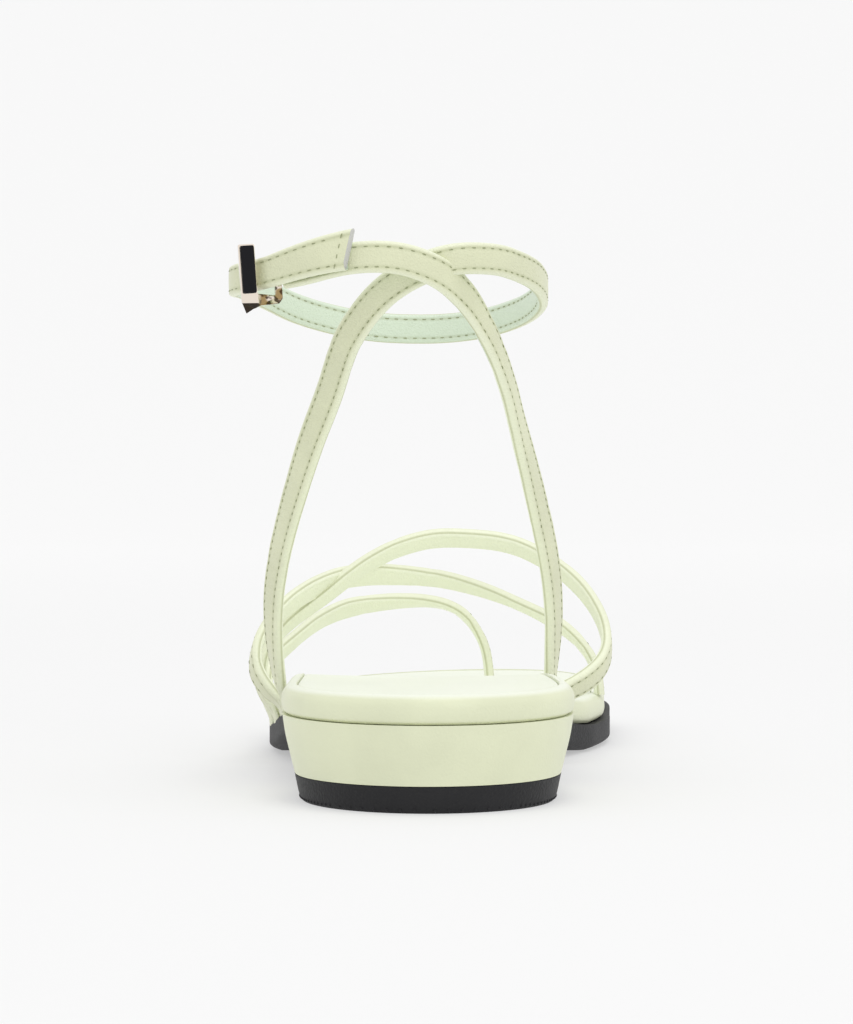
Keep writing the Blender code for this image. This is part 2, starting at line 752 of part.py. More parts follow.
def make_buckle(gold, enamel):
    """Open frame: front bar outside the long strap, lower rail and inner bar behind it."""
    centre = turn_point(BUCKLE)
    out = facing(BUCKLE.face)
    flat_right = Vector((0.0, 0.0, 1.0)).cross(out)
    lean = math.radians(FRAME_LEAN)
    right = flat_right * math.cos(lean) + Vector((0.0, 0.0, math.sin(lean)))
    axes = (centre, right, out.cross(right), out)
    half = FRAME_THICKNESS / 2
    front, rear = [], []
    for c in FRAME:
        bend = -c.inward * STRAP_WIDTH
        left, down = c.right - c.drawn_left, c.up - c.drawn_down
        front.append((c.right * STRAP_WIDTH, c.up * STRAP_WIDTH, bend + half))
        rear.append((left * STRAP_WIDTH, down * STRAP_WIDTH, bend - half))
    frame = prism("buckle_frame", front, rear, axes, gold)
    rounded = frame.modifiers.new("rounded", "BEVEL")
    rounded.width = EDGE_ROUND
    rounded.segments = 2
    rounded.limit_method = "ANGLE"
    rounded.angle_limit = math.radians(30)
    top = BAR_TOP * STRAP_WIDTH - SEAM - EDGE_ROUND
    left = BAR_SHARE * STRAP_WIDTH - SEAM - EDGE_ROUND - INLAY_WIDTH

    def plate(grow, depth):
        edges = [
            (left - grow, top + grow),
            (left + INLAY_WIDTH + grow, top + grow),
            (left + INLAY_WIDTH + grow, top - INLAY_HEIGHT - grow),
            (left - grow, top - INLAY_HEIGHT - grow),
        ]
        return [(a, b, depth) for a, b in edges]

    floor = half - INLAY_DEPTH
    over = half + INLAY_DEPTH
    cutter = prism("buckle_pocket", plate(SEAM, over), plate(SEAM, floor - SEAM), axes, enamel)
    cutter.hide_render = True
    cutter.display_type = "WIRE"
    cut = frame.modifiers.new("pocket", "BOOLEAN")
    cut.operation = "DIFFERENCE"
    cut.solver = "EXACT"
    cut.object = cutter
    prism("buckle_inlay", plate(0.0, half + INLAY_PROUD), plate(0.0, floor), axes, enamel)


def main():
    for old in list(bpy.data.objects):
        bpy.data.objects.remove(old, do_unlink=True)
    leather = material("strap leather", (0.66, 0.71, 0.50), 0.5)
    lining = material("insock lining", (0.85, 0.88, 0.78), 0.6)
    rubber = material("sole rubber", (0.03, 0.03, 0.033), 0.7)
    gold = material("pale gold", (0.85, 0.68, 0.45), 0.2, 1.0)
    enamel = material("black enamel", (0.01, 0.01, 0.012), 0.15)
    make_outsole(rubber)
    make_heel_lift(rubber)
    make_heel_block(leather)
    make_footbed(leather)
    make_insock(lining)
    make_instep_straps(leather)
    make_toe_strap(leather)
    make_ankle_straps(leather)
    make_buckle(gold, enamel)


main()
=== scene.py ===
# %% [markdown]
# # Ankle strap sandal
#
# A flat left sandal seen from behind: folded and stitched leather straps, a low block heel
# covered in the same leather, a cream insock, a black rubber sole and a small gold hook.
# The packed CAD model is the fixed frame. This lesson makes the finer skin of each piece
# from the same sizes, then its finish, its light and its camera.

# %% Load the packed model
import math
from collections import namedtuple

import bmesh
import bpy
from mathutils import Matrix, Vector, noise


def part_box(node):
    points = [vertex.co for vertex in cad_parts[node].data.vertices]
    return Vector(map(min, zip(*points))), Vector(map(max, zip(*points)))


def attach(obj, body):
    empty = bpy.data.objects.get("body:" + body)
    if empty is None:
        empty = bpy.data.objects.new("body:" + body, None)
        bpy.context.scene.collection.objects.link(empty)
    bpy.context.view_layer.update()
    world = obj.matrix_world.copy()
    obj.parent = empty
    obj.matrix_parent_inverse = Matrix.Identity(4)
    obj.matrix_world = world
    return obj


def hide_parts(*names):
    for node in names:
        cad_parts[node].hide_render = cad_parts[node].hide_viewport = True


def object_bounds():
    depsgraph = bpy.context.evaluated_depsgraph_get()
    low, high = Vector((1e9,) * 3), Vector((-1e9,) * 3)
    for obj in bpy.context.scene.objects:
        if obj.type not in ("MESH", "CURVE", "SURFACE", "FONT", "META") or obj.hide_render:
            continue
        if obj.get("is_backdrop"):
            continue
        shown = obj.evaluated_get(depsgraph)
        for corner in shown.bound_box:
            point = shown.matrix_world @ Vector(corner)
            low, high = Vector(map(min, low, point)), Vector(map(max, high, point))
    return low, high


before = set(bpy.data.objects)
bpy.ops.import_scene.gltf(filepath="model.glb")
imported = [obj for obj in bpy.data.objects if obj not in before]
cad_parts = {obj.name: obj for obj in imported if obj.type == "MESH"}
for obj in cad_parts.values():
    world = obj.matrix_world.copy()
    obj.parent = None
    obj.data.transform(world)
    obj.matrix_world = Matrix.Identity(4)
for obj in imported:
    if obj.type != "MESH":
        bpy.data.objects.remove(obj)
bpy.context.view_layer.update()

# %% [markdown]
# ## Sizes of the sole
#
# All sizes are in metres. A women's size 37 sandal has a footbed of 243 mm, and the rest
# suits it. The outlines could be traced as points, but a named size says what it is, can
# be changed alone, and every outline below follows it.

# %% Sole sizes
FOOTBED_LENGTH = 0.243
BALL_WIDTH = 0.081
HEEL_WIDTH = 0.062
HEEL_ROUND = 0.038
TOE_START = 0.180
BREAST = 0.066
HEEL_CENTRE = 0.034
OUTSOLE_THICKNESS = 0.0062
FOOTBED_THICKNESS = 0.006
INSOCK_THICKNESS = 0.0008
INSOCK_INSET = 0.0034
LIFT_THICKNESS = 0.0055
BLOCK_HEIGHT = 0.0122
HEEL_TAPER = 0.0028
LIFT_TAPER = 0.0016
TOE_SPRING = 0.0016
TOE_SHIFT = 0.0155
HEEL_CUP = 0.0009
CUP_FADE = 0.75
HEEL_POWER = 2.1
TOE_POWER = 3.0
SPRING_POWER = 1.8
print("footbed length in mm:", round(1000 * FOOTBED_LENGTH))

# %% [markdown]
# ## Sizes of the straps
#
# Each strap is a strip of leather folded round a core and lined, so that its long edges
# are soft folds. The stitch rows sit a good millimetre in from the folds. The same sizes
# serve all five straps, because they are cut from one strip.

# %% Strap sizes
STRAP_WIDTH = 0.0066
STRAP_THICKNESS = 0.0024
INSTEP_HEIGHT = 0.040
ANKLE_HEIGHT = 0.090
ANKLE_WIDTH = 0.062
TIP_LENGTH = 0.020
TIP_FLARE = 0.0017
TIP_RISE = 0.0015
TIP_ROW = 2
ROOT_RISE = 0.0021
FOLD = 0.0009
AXIS_HEIGHT = 0.008
SEAM = 0.0003
STITCH_INSET = 0.0012
STITCH_PITCH = 0.0022
STITCH_LENGTH = 0.0011
STITCH_WIDTH = 0.00021
GROOVE_DEPTH = 0.00012
GROOVE_WIDTH = 0.00028
CROWN = 0.00005
print("strap section in mm:", round(1000 * STRAP_WIDTH, 1), round(1000 * STRAP_THICKNESS, 1))

# %% [markdown]
# ## Outline of the footbed
#
# The last's outline is a short table of widths between heel and ball, joined by a smooth
# curve, as with a pattern cutter's spline. A Bezier curve could do it, but this cubic never
# swings past its rows, so no bulge appears between two of them.

# %% A smooth curve through a table
def through(places, values, at, flat_ends=False):
    """Smooth curve through the values that never swings past them."""
    if at <= places[0]:
        return values[0]
    if at >= places[-1]:
        return values[-1]
    last = len(places) - 1
    spans = [places[i + 1] - places[i] for i in range(last)]
    slopes = [(values[i + 1] - values[i]) / spans[i] for i in range(last)]

    def tangent(i):
        if i in (0, last):
            return 0.0 if flat_ends else slopes[min(i, last - 1)]
        before, after = slopes[i - 1], slopes[i]
        if before * after <= 0.0:
            return 0.0
        near = 2.0 * spans[i] + spans[i - 1]
        far = spans[i] + 2.0 * spans[i - 1]
        return (near + far) / (near / before + far / after)

    i = max(k for k in range(last) if places[k] <= at)
    span = spans[i]
    t = (at - places[i]) / span
    rise = (2 * t - 3) * t * t + 1
    return (
        rise * values[i]
        + (1 - rise) * values[i + 1]
        + (t - 1) ** 2 * t * span * tangent(i)
        + (t - 1) * t * t * span * tangent(i + 1)
    )


print("half way up a smooth step:", through([0, 1], [0.0, 1.0], 0.5, flat_ends=True))

# %% [markdown]
# The heel is a round of power 2.1, the toe a squarer one of power 3 whose tip is moved
# towards the big toe. One formula for each end turns evenly, where a table of widths would
# need many rows.

# %% Width of the footbed
Outline = namedtuple("Outline", "along outer inner")
WAIST = [
    Outline(0.29, 0.378, 0.358),
    Outline(0.43, 0.388, 0.322),
    Outline(0.53, 0.427, 0.382),
    Outline(0.63, 0.458, 0.490),
]
BALL = Outline(0.74, 0.463, 0.544)


def side_width(back, side):
    """Distance of the footbed's edge from the heel's centre line; side is "outer" or "inner"."""
    heel = HEEL_WIDTH / 2
    if back < HEEL_ROUND:
        return heel * math.sqrt(max(0.0, 1 - (1 - back / HEEL_ROUND) ** HEEL_POWER))
    rows = WAIST + [BALL]
    places = [HEEL_ROUND] + [row.along * FOOTBED_LENGTH for row in rows[:-1]] + [TOE_START]
    widths = [heel] + [getattr(row, side) * BALL_WIDTH for row in rows]
    if back <= TOE_START:
        return through(places, widths, back, flat_ends=True)
    share = min(1.0, (back - TOE_START) / (FOOTBED_LENGTH - TOE_START))
    half = (BALL.outer + BALL.inner) * BALL_WIDTH / 2
    middle = (BALL.inner - BALL.outer) * BALL_WIDTH / 2
    centre = middle + TOE_SHIFT * share ** 2
    reach = half * math.sqrt(max(0.0, 1 - share ** TOE_POWER))
    return reach + (centre if side == "inner" else -centre)


print("ball width in mm:", round(1000 * (side_width(0.18, "outer") + side_width(0.18, "inner")), 1))

# %% [markdown]
# ## Height of the footbed
#
# The seat is level over the heel, falls along the arch and lifts a little at the toe. The
# upper side is hollowed so that the heel sits in a shallow cup. A curve modifier could bend
# a flat sole, but a height function also tells the straps where to end.

# %% Height of the footbed
Fall = namedtuple("Fall", "along drop")
ARCH = [
    Fall(0.263, 0.0),
    Fall(0.366, 0.16),
    Fall(0.449, 0.43),
    Fall(0.531, 0.77),
    Fall(0.590, 0.94),
    Fall(0.642, 1.0),
]
SPRING_START = 0.765


def footbed_top(back):
    """Height of the footbed's rim."""
    forepart = OUTSOLE_THICKNESS + SEAM + FOOTBED_THICKNESS
    seat = LIFT_THICKNESS + BLOCK_HEIGHT + 2 * SEAM + FOOTBED_THICKNESS
    places = [row.along * FOOTBED_LENGTH for row in ARCH]
    drop = through(places, [row.drop for row in ARCH], back, flat_ends=True)
    height = seat + (forepart - seat) * drop
    start = SPRING_START * FOOTBED_LENGTH
    if back > start:
        height += TOE_SPRING * ((back - start) / (FOOTBED_LENGTH - start)) ** SPRING_POWER
    return height


def cupped_top(x, back):
    """Height of the footbed's upper side, hollowed under the heel."""
    near = min(max(back, INSOCK_INSET), FOOTBED_LENGTH - INSOCK_INSET)
    inner, outer = side_width(near, "inner"), side_width(near, "outer")
    share = (x - (inner - outer) / 2) / ((inner + outer) / 2)
    fade = 1.0 - CUP_FADE * near / FOOTBED_LENGTH
    return footbed_top(back) - HEEL_CUP * fade * max(0.0, 1 - share * share)


print("seat height in mm:", round(1000 * footbed_top(0.02), 1))

# %% [markdown]
# ## Lip of the outsole
#
# The rubber stands out past the footbed just far enough to carry the ends of the straps,
# which are skived to half their thickness there. The lip could be one constant width, but
# it is narrower beside the heel's front. The table gives it as shares of a strap's
# thickness and seam, because that is what it has to cover.

# %% Lip of the outsole
Lip = namedtuple("Lip", "along outer inner")
LIPS = [
    Lip(0.272, -0.11, -0.11),
    Lip(0.40, 0.5, 0.5),
    Lip(0.50, 0.5, 0.5),
    Lip(0.61, 0.5, 0.4),
    Lip(0.74, 0.4, 0.5),
    Lip(1.0, 0.55, 0.55),
]


def lip(back, turn):
    """How far the outsole stands out; turn is the edge's outward X, from -1 to 1."""
    places = [row.along * FOOTBED_LENGTH for row in LIPS]
    outer = through(places, [row.outer for row in LIPS], back, flat_ends=True)
    inner = through(places, [row.inner for row in LIPS], back, flat_ends=True)
    share = (turn + 1) / 2
    return (STRAP_THICKNESS + SEAM) * (outer * (1 - share) + inner * share)


def outsole_top(back):
    return footbed_top(back) - FOOTBED_THICKNESS - SEAM


print("lip beside the ball in mm:", round(1000 * lip(TOE_START, -1.0), 1))

# %% [markdown]
# ## Rings round the sole
#
# Every piece of the sole is a stack of rings round the same outline. An extruded curve
# would give straight walls only; rings can be drawn in, rounded and tapered. Points are
# closer together where the heel and the toe turn.

# %% Outline points
ROUND_STEPS = 30
SIDE_STEPS = 60


def stations(start, end, heel_tip, toe_tip):
    """Distances from the back edge, close together round the heel and the toe."""
    found = []
    if heel_tip:
        angles = [90 * i / ROUND_STEPS for i in range(1, ROUND_STEPS)]
        found += [HEEL_ROUND * (1 - math.cos(math.radians(a))) for a in angles]
    first = HEEL_ROUND if heel_tip else start
    last = TOE_START if toe_tip else end
    steps = max(2, round(SIDE_STEPS * (last - first) / (TOE_START - HEEL_ROUND)))
    found += [first + (last - first) * i / steps for i in range(steps + 1)]
    if toe_tip:
        length = FOOTBED_LENGTH - TOE_START
        angles = [90 * i / ROUND_STEPS for i in range(1, ROUND_STEPS)]
        found += [TOE_START + length * math.sin(math.radians(a)) for a in angles]
    return found


def outline(start=0.0, end=FOOTBED_LENGTH):
    """Ring of edge points with outward normals: outer side forwards, inner side back."""
    heel_tip, toe_tip = start == 0.0, end == FOOTBED_LENGTH
    backs = stations(start, end, heel_tip, toe_tip)
    outer = [(-side_width(b, "outer"), b) for b in backs]
    inner = [(side_width(b, "inner"), b) for b in backs]
    points = list(outer)
    if toe_tip:
        tip = (side_width(FOOTBED_LENGTH, "inner"), FOOTBED_LENGTH)
        points.append(tip)
    points += reversed(inner)
    if heel_tip:
        points.insert(0, (0.0, 0.0))
    count = len(points)
    cut_ends = set()
    if not heel_tip:
        cut_ends |= {0, count - 1}
    if not toe_tip:
        front = len(outer) + (1 if heel_tip else 0)
        cut_ends |= {front - 1, front}
    normals = []
    for i, point in enumerate(points):
        if i in cut_ends:
            normals.append((math.copysign(1.0, point[0]), 0.0))
            continue
        before, after = points[i - 1], points[(i + 1) % count]
        dx, dy = after[0] - before[0], after[1] - before[1]
        size = math.hypot(dx, dy)
        normals.append((-dy / size, dx / size))
    return {
        "points": points,
        "normals": normals,
        "pairs": len(backs),
        "heel_tip": heel_tip,
        "toe_tip": toe_tip,
    }


def place(x, back, z):
    return Vector((x, back - HEEL_CENTRE, z))


print("points round the footbed:", len(outline()["points"]))

# %% [markdown]
# A ring is drawn in by an inset and set at a height. The last ring could be closed with
# one large face, but rows of faces from side to side can carry the hollow of the seat.

# %% Rings and fills
def ring_of(shape, inset, height):
    """One ring of vertices; inset and height are numbers or functions."""
    ring = []
    for (x, back), (nx, ny) in zip(shape["points"], shape["normals"]):
        step = inset(back, nx) if callable(inset) else inset
        px, pb = x - nx * step, back - ny * step
        ring.append(place(px, pb, height(px, pb)))
    return ring


def fill_across(bm, shape, ring, columns, height):
    """Closes a ring with rows of faces that run from side to side."""
    offset = 1 if shape["heel_tip"] else 0
    rows = []
    for k in range(shape["pairs"]):
        left, right = ring[offset + k], ring[-1 - k]
        row = [left]
        for c in range(1, columns + 1):
            spot = left.co.lerp(right.co, c / (columns + 1))
            spot.z = height(spot.x, spot.y + HEEL_CENTRE)
            row.append(bm.verts.new(spot))
        row.append(right)
        rows.append(row)
    for row, following in zip(rows, rows[1:]):
        for c in range(len(row) - 1):
            bm.faces.new((row[c], following[c], following[c + 1], row[c + 1]))
    if shape["heel_tip"]:
        for c in range(len(rows[0]) - 1):
            bm.faces.new((ring[0], rows[0][c], rows[0][c + 1]))
    if shape["toe_tip"]:
        tip = ring[offset + shape["pairs"]]
        for c in range(len(rows[-1]) - 1):
            bm.faces.new((tip, rows[-1][c + 1], rows[-1][c]))


def bridge(bm, low, high):
    count = len(low)
    for i in range(count):
        j = (i + 1) % count
        bm.faces.new((low[i], low[j], high[j], high[i]))


print("points in the footbed's rim:", len(ring_of(outline(), 0.0, cupped_top)))

# %% [markdown]
# ## Turning rings into a piece
#
# The edge profiles are short tables, each row a share of the piece's own thickness. A bevel
# would round every edge alike; a table lets the footbed turn over slowly and the rubber
# sharply. They are read through the same smooth curve, so that no facet shows.

# %% Edge profiles
Edge = namedtuple("Edge", "inset up")
FOOTBED_EDGE = [
    Edge(0.17, 0.0),
    Edge(0.05, 0.12),
    Edge(0.0, 0.37),
    Edge(0.02, 0.63),
    Edge(0.13, 0.85),
    Edge(0.32, 0.97),
    Edge(0.53, 1.0),
]
OUTSOLE_EDGE = [Edge(0.45, 0.0), Edge(0.15, 0.12), Edge(0.0, 0.32), Edge(0.0, 1.0)]
BLOCK_EDGE = [Edge(1.0, 0.0), Edge(0.62, 0.34), Edge(0.27, 0.68), Edge(0.06, 1.0)]
LIFT_EDGE = [Edge(1.0, 0.0), Edge(0.78, 0.09), Edge(0.55, 0.26), Edge(0.0, 1.0)]


def fine_edge(rows, count):
    """More rows of an edge profile, on a smooth curve through the given ones."""
    places = list(range(len(rows)))
    marks = [places[-1] * i / count for i in range(count + 1)]
    insets = [row.inset for row in rows]
    ups = [row.up for row in rows]
    return [Edge(through(places, insets, m), through(places, ups, m)) for m in marks]


print("rows in the footbed's edge:", len(fine_edge(FOOTBED_EDGE, count=20)))

# %% [markdown]
# A finished mesh is shaded smooth, with sharp edges only where the piece is cut. Flat
# shading would show the rings, and smooth shading alone would blur the cut edges.

# %% Finish a mesh
def finish(name, bm, materials, sharp=35):
    """Turns the bmesh into a shaded object in the scene."""
    bmesh.ops.recalc_face_normals(bm, faces=bm.faces)
    mesh = bpy.data.meshes.new(name)
    bm.to_mesh(mesh)
    bm.free()
    mesh.shade_smooth()
    mesh.set_sharp_from_angle(angle=math.radians(sharp))
    for made in materials:
        mesh.materials.append(made)
    piece = bpy.data.objects.new(name, mesh)
    bpy.context.scene.collection.objects.link(piece)
    return piece


def ring_solid(name, shape, layers, surface, columns=0):
    """Solid made of rings from the bottom up; each layer is an inset and a height."""
    bm = bmesh.new()
    rings = [[bm.verts.new(co) for co in ring_of(shape, *layer)] for layer in layers]
    for low, high in zip(rings, rings[1:]):
        bridge(bm, low, high)
    fill_across(bm, shape, rings[0], 0, layers[0][1])
    fill_across(bm, shape, rings[-1], columns, layers[-1][1])
    return finish(name, bm, [surface])


print("meshes of the packed model:", len(bpy.data.meshes))

# %% [markdown]
# ## Shader sums
#
# Nodes could be made and linked one by one, but the formula gets lost in the links. A
# wrapped socket can be added and multiplied like a number, so that a finish reads as a sum.

# %% Shader sums
class Value:
    """One output of a shader node, used like a number."""

    def __init__(self, surface, socket):
        self.surface = surface
        self.socket = socket

    def sum(self, operation, other):
        return self.surface.node("ShaderNodeMath", {"operation": operation}, {0: self, 1: other})

    def __add__(self, other):
        return self.sum("ADD", other)

    def __mul__(self, other):
        return self.sum("MULTIPLY", other)

    __radd__ = __add__
    __rmul__ = __mul__

    def __neg__(self):
        return self.sum("MULTIPLY", -1.0)

    def step(self, low, high):
        """Soft step from 0 at low to 1 at high."""
        return self.surface.node(
            "ShaderNodeMapRange",
            {"interpolation_type": "SMOOTHSTEP"},
            {"Value": self, "From Min": low, "From Max": high},
        )


print("a wrapped socket can:", [name for name in vars(Value) if not name.startswith("_")])

# %% [markdown]
# A surface is one material with its principled shader. Its patterns are worked out from
# the object's own coordinates, not from an image, so they need no unwrapping and their
# lengths are real metres on every piece.

# %% Surfaces
class Surface:
    """One material being written, with a principled shader."""

    def __init__(self, name, **fixed):
        self.material = bpy.data.materials.new(name)
        self.material.use_nodes = True
        self.tree = self.material.node_tree
        self.shader = self.tree.nodes["Principled BSDF"]
        for socket, value in fixed.items():
            self.shader.inputs[socket.replace("_", " ")].default_value = value
        self.spot = self.node("ShaderNodeTexCoord", output="Object")

    def node(self, kind, settings=None, inputs=None, output=0):
        made = self.tree.nodes.new(kind)
        for option, value in (settings or {}).items():
            setattr(made, option, value)
        for socket, value in (inputs or {}).items():
            if isinstance(value, Value):
                self.tree.links.new(value.socket, made.inputs[socket])
            else:
                made.inputs[socket].default_value = value
        return Value(self, made.outputs[output])

    def link(self, socket, value):
        self.tree.links.new(value.socket, self.shader.inputs[socket])

    def part(self, vector, axis):
        """One axis of a vector, such as the Z of a place."""
        return self.node("ShaderNodeSeparateXYZ", inputs={"Vector": vector}, output=axis)

    def noise(self, size, detail=2.0):
        """Cloudy pattern whose patches are about size metres wide."""
        inputs = {"Vector": self.spot, "Scale": 1.0 / size, "Detail": detail}
        return self.node("ShaderNodeTexNoise", inputs=inputs, output="Fac")

    def cells(self, size):
        """Rounded cells about size metres wide, like the pebbles of a grain."""
        return self.node(
            "ShaderNodeTexVoronoi",
            {"feature": "SMOOTH_F1"},
            {"Vector": self.spot, "Scale": 1.0 / size, "Smoothness": 0.6},
            output="Distance",
        )

    def marked(self, name):
        """Number kept with the points of the mesh."""
        settings = {"attribute_type": "GEOMETRY", "attribute_name": name}
        return self.node("ShaderNodeAttribute", settings, output="Fac")

    def blend(self, share, first, second):
        """Colour between two others."""
        made = self.tree.nodes.new("ShaderNodeMix")
        made.data_type = "RGBA"
        for key, value in (("Factor_Float", share), ("A_Color", first), ("B_Color", second)):
            socket = next(s for s in made.inputs if s.identifier == key)
            if isinstance(value, Value):
                self.tree.links.new(value.socket, socket)
            else:
                socket.default_value = value
        return Value(self, next(s for s in made.outputs if s.identifier == "Result_Color"))

    def bump(self, height, depth, strength=1.0):
        """Feeds the normal with a height from 0 to 1 that is depth metres high."""
        inputs = {"Height": height, "Distance": depth, "Strength": strength}
        self.link("Normal", self.node("ShaderNodeBump", inputs=inputs, output="Normal"))


def shade(colour, factor=1.0):
    """A colour made lighter or darker, with the fourth number that a socket needs."""
    return (*[min(1.0, c * factor) for c in colour], 1.0)


print("a grey made half as light:", shade((0.8, 0.8, 0.8), 0.5))

# %% [markdown]
# ## Strap leather
#
# A pale yellow green leather with a fine soft grain and a light satin finish. Along the
# folded edge runs the line where the lining is glued in, and the same mark paints the
# shadow of the buckle's bar on the free end. The ankle loop is lined in a cooler mint, the
# other straps in a paler shade of their own colour. Separate meshes could carry the
# linings; marks kept with the points need none and fade softly. The grain is a bump of
# rounded cells, because real pebbles would take millions of faces.

# %% Strap leather
LEATHER = (0.715, 0.738, 0.51)
MINT = (0.70, 0.80, 0.645)
PALE = (0.90, 0.935, 0.74)
OLIVE = (0.30, 0.33, 0.17)

leather = Surface("strap_leather", Coat_Roughness=0.28)
cloud = leather.noise(0.012, 3.0)
fine = leather.noise(0.0009, 2.0)
pebble = leather.cells(0.00042)
tone = leather.blend(cloud.step(0.3, 0.7), shade(LEATHER, 0.955), shade(LEATHER, 1.03))
tone = leather.blend(leather.marked("mint"), tone, shade(MINT))
tone = leather.blend(leather.marked("pale"), tone, shade(PALE))
# the groove along each stitch row is darkened with painted shade
tone = leather.blend(leather.marked("groove") * 0.35, tone, shade(OLIVE, 1.3))
# painted shadow of the buckle's bar, in the same mark as the lining's seam line
tone = leather.blend(leather.marked("joint") * 0.45, tone, shade(OLIVE, 1.2))
leather.link("Base Color", tone)
leather.link("Roughness", 0.36 + 0.16 * fine + 0.08 * cloud)
leather.link("Coat Weight", 0.22 + 0.16 * cloud)
leather.bump(pebble * 0.8 + fine * 0.7 + cloud * 0.6, 0.00017, 0.9)
print("nodes in the strap leather:", len(leather.tree.nodes))

# %% [markdown]
# ## Wrap leather, insock and raw edge
#
# The footbed and the block heel are wrapped in the same leather, stretched smooth. It could
# share the straps' material, but its grain is flatter, so it gets one of its own. Where the
# wrap turns over the footbed's top edge, the faces that look up are painted lighter, towards
# the cream of the insock, as painted light from above; the insock is a smooth lining. The cut
# end of the free strap shows the grey-white core.

# %% Wrap leather, insock and raw edge
WRAP = (0.72, 0.75, 0.535)
CREAM = (0.86, 0.89, 0.77)
CORE_DARK = (0.48, 0.48, 0.46)
CORE_LIGHT = (0.74, 0.74, 0.72)

wrap = Surface("wrap_leather", Coat_Roughness=0.3)
broad = wrap.noise(0.016, 3.0)
grain = wrap.cells(0.0005)
side_tone = wrap.blend(broad.step(0.3, 0.7), shade(WRAP, 0.97), shade(WRAP, 1.03))
# upward faces are painted lighter, towards cream: painted light from above
wrap.link("Base Color", wrap.blend(wrap.marked("top"), side_tone, shade(CREAM)))
wrap.link("Roughness", 0.38 + 0.14 * broad)
wrap.link("Coat Weight", 0.14 + 0.10 * broad)
wrap.bump(grain * 0.6 + wrap.noise(0.0012) * 0.5 + broad * 1.6, 0.00013, 0.6)

cream = Surface("insock_lining", Coat_Weight=0.05)
felt = cream.noise(0.0007, 3.0)
cream.link("Base Color", cream.blend(cream.noise(0.02), shade(CREAM, 0.97), shade(CREAM, 1.02)))
cream.link("Roughness", 0.52 + 0.14 * felt)
cream.bump(felt + cream.cells(0.0006) * 0.5, 0.00006, 0.5)

raw = Surface("raw_edge", Roughness=0.85)
fibre = raw.noise(0.0004, 4.0)
raw.link("Base Color", raw.blend(fibre, shade(CORE_DARK), shade(CORE_LIGHT)))
raw.bump(fibre, 0.0002, 0.8)
print("surfaces:", [m.name for m in bpy.data.materials])

# %% [markdown]
# ## Rubber and thread
#
# The rubber is nearly black and matt. Its fine moulded texture could be modelled, but at
# this size a bump of noise and cells looks the same. The thread is a dull olive whose twist
# is finer than a pixel, so two tones of noise stand for it.

# %% Rubber and thread
RUBBER_DARK = (0.009, 0.009, 0.010)
RUBBER_DUSTY = (0.016, 0.016, 0.018)
THREAD_DARK = (0.20, 0.22, 0.11)
THREAD_LIGHT = (0.42, 0.45, 0.27)

rubber = Surface("sole_rubber", Specular_IOR_Level=0.3)
skin = rubber.noise(0.0006, 3.0)
dust = rubber.noise(0.01, 3.0)
rubber.link("Base Color", rubber.blend(dust, shade(RUBBER_DARK), shade(RUBBER_DUSTY)))
rubber.link("Roughness", 0.48 + 0.2 * skin)
rubber.bump(skin + rubber.cells(0.0007) * 0.6, 0.00016, 0.7)

thread = Surface("thread", Roughness=0.75)
twist = thread.noise(0.0003)
thread.link("Base Color", thread.blend(twist, shade(THREAD_DARK), shade(THREAD_LIGHT)))
print("nodes in the rubber:", len(rubber.tree.nodes))

# %% [markdown]
# ## Gold and enamel
#
# The hook is polished pale gold, and its inlay is a glossy black enamel. Polished metal
# shows the room around it. A darker room could be built for it, but this one is white all
# round, so the reflections are painted instead: silvery where the metal looks to the outer
# side, nearly black where it looks down, and patches of bronze and brown along the rail,
# which starts where the bar ends.

# %% Gold and enamel
SILVER = (0.90, 0.89, 0.88)
PINK_GOLD = (0.86, 0.77, 0.67)
UNDERSIDE = (0.045, 0.034, 0.027)
BRONZE = (0.34, 0.22, 0.07)
BROWN = (0.06, 0.03, 0.015)
ENAMEL = (0.006, 0.006, 0.008)
BAR_SPAN = 0.0044
RAIL_FADE = 0.0008

gold = Surface("pale_gold", Metallic=1.0)
gold.link("Roughness", 0.05 + 0.07 * gold.noise(0.002, 3.0))
looks = gold.node("ShaderNodeTexCoord", output="Normal")
outwards = (-gold.part(looks, "X")).step(0.3, 0.9)
downwards = (-gold.part(looks, "Z")).step(0.05, 0.5)
rail_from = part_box("buckle_frame")[0][0] + BAR_SPAN
rail = gold.part(gold.spot, "X").step(rail_from, rail_from + RAIL_FADE)
metal = gold.blend(outwards, shade(PINK_GOLD), shade(SILVER))
metal = gold.blend(downwards, metal, shade(UNDERSIDE))
metal = gold.blend(gold.noise(0.0024, 1.0).step(0.42, 0.56) * rail * 0.9, metal, shade(BRONZE))
metal = gold.blend(gold.noise(0.0014, 1.0).step(0.47, 0.56) * rail * 0.9, metal, shade(BROWN))
gold.link("Base Color", metal)

enamel = Surface("black_enamel", Base_Color=shade(ENAMEL), Specular_IOR_Level=0.16)
enamel.link("Roughness", 0.06 + 0.05 * enamel.noise(0.003))
enamel.bump(enamel.noise(0.003), 0.00004, 0.4)
print("rail starts at X in mm:", round(1000 * rail_from, 1))

# %% [markdown]
# ## Outsole and heel lift
#
# Both are cut from sheet rubber: straight walls with a slightly rounded lower edge. A cube
# could be bent and bevelled into them, but rings follow the footbed's own outline. The
# outsole's inset is a function, because its lip is wider in some places than in others.

# %% Outsole
def make_outsole():
    shape = outline(start=BREAST + SEAM)
    layers = []
    for edge in fine_edge(OUTSOLE_EDGE, count=12):
        down = (1 - edge.up) * OUTSOLE_THICKNESS
        layers.append(
            (
                lambda back, turn, e=edge: e.inset * OUTSOLE_THICKNESS - lip(back, turn),
                lambda x, back, d=down: outsole_top(back) - d,
            )
        )
    return ring_solid("outsole_skin", shape, layers, rubber.material)


outsole = make_outsole()
print("outsole points:", len(outsole.data.vertices))

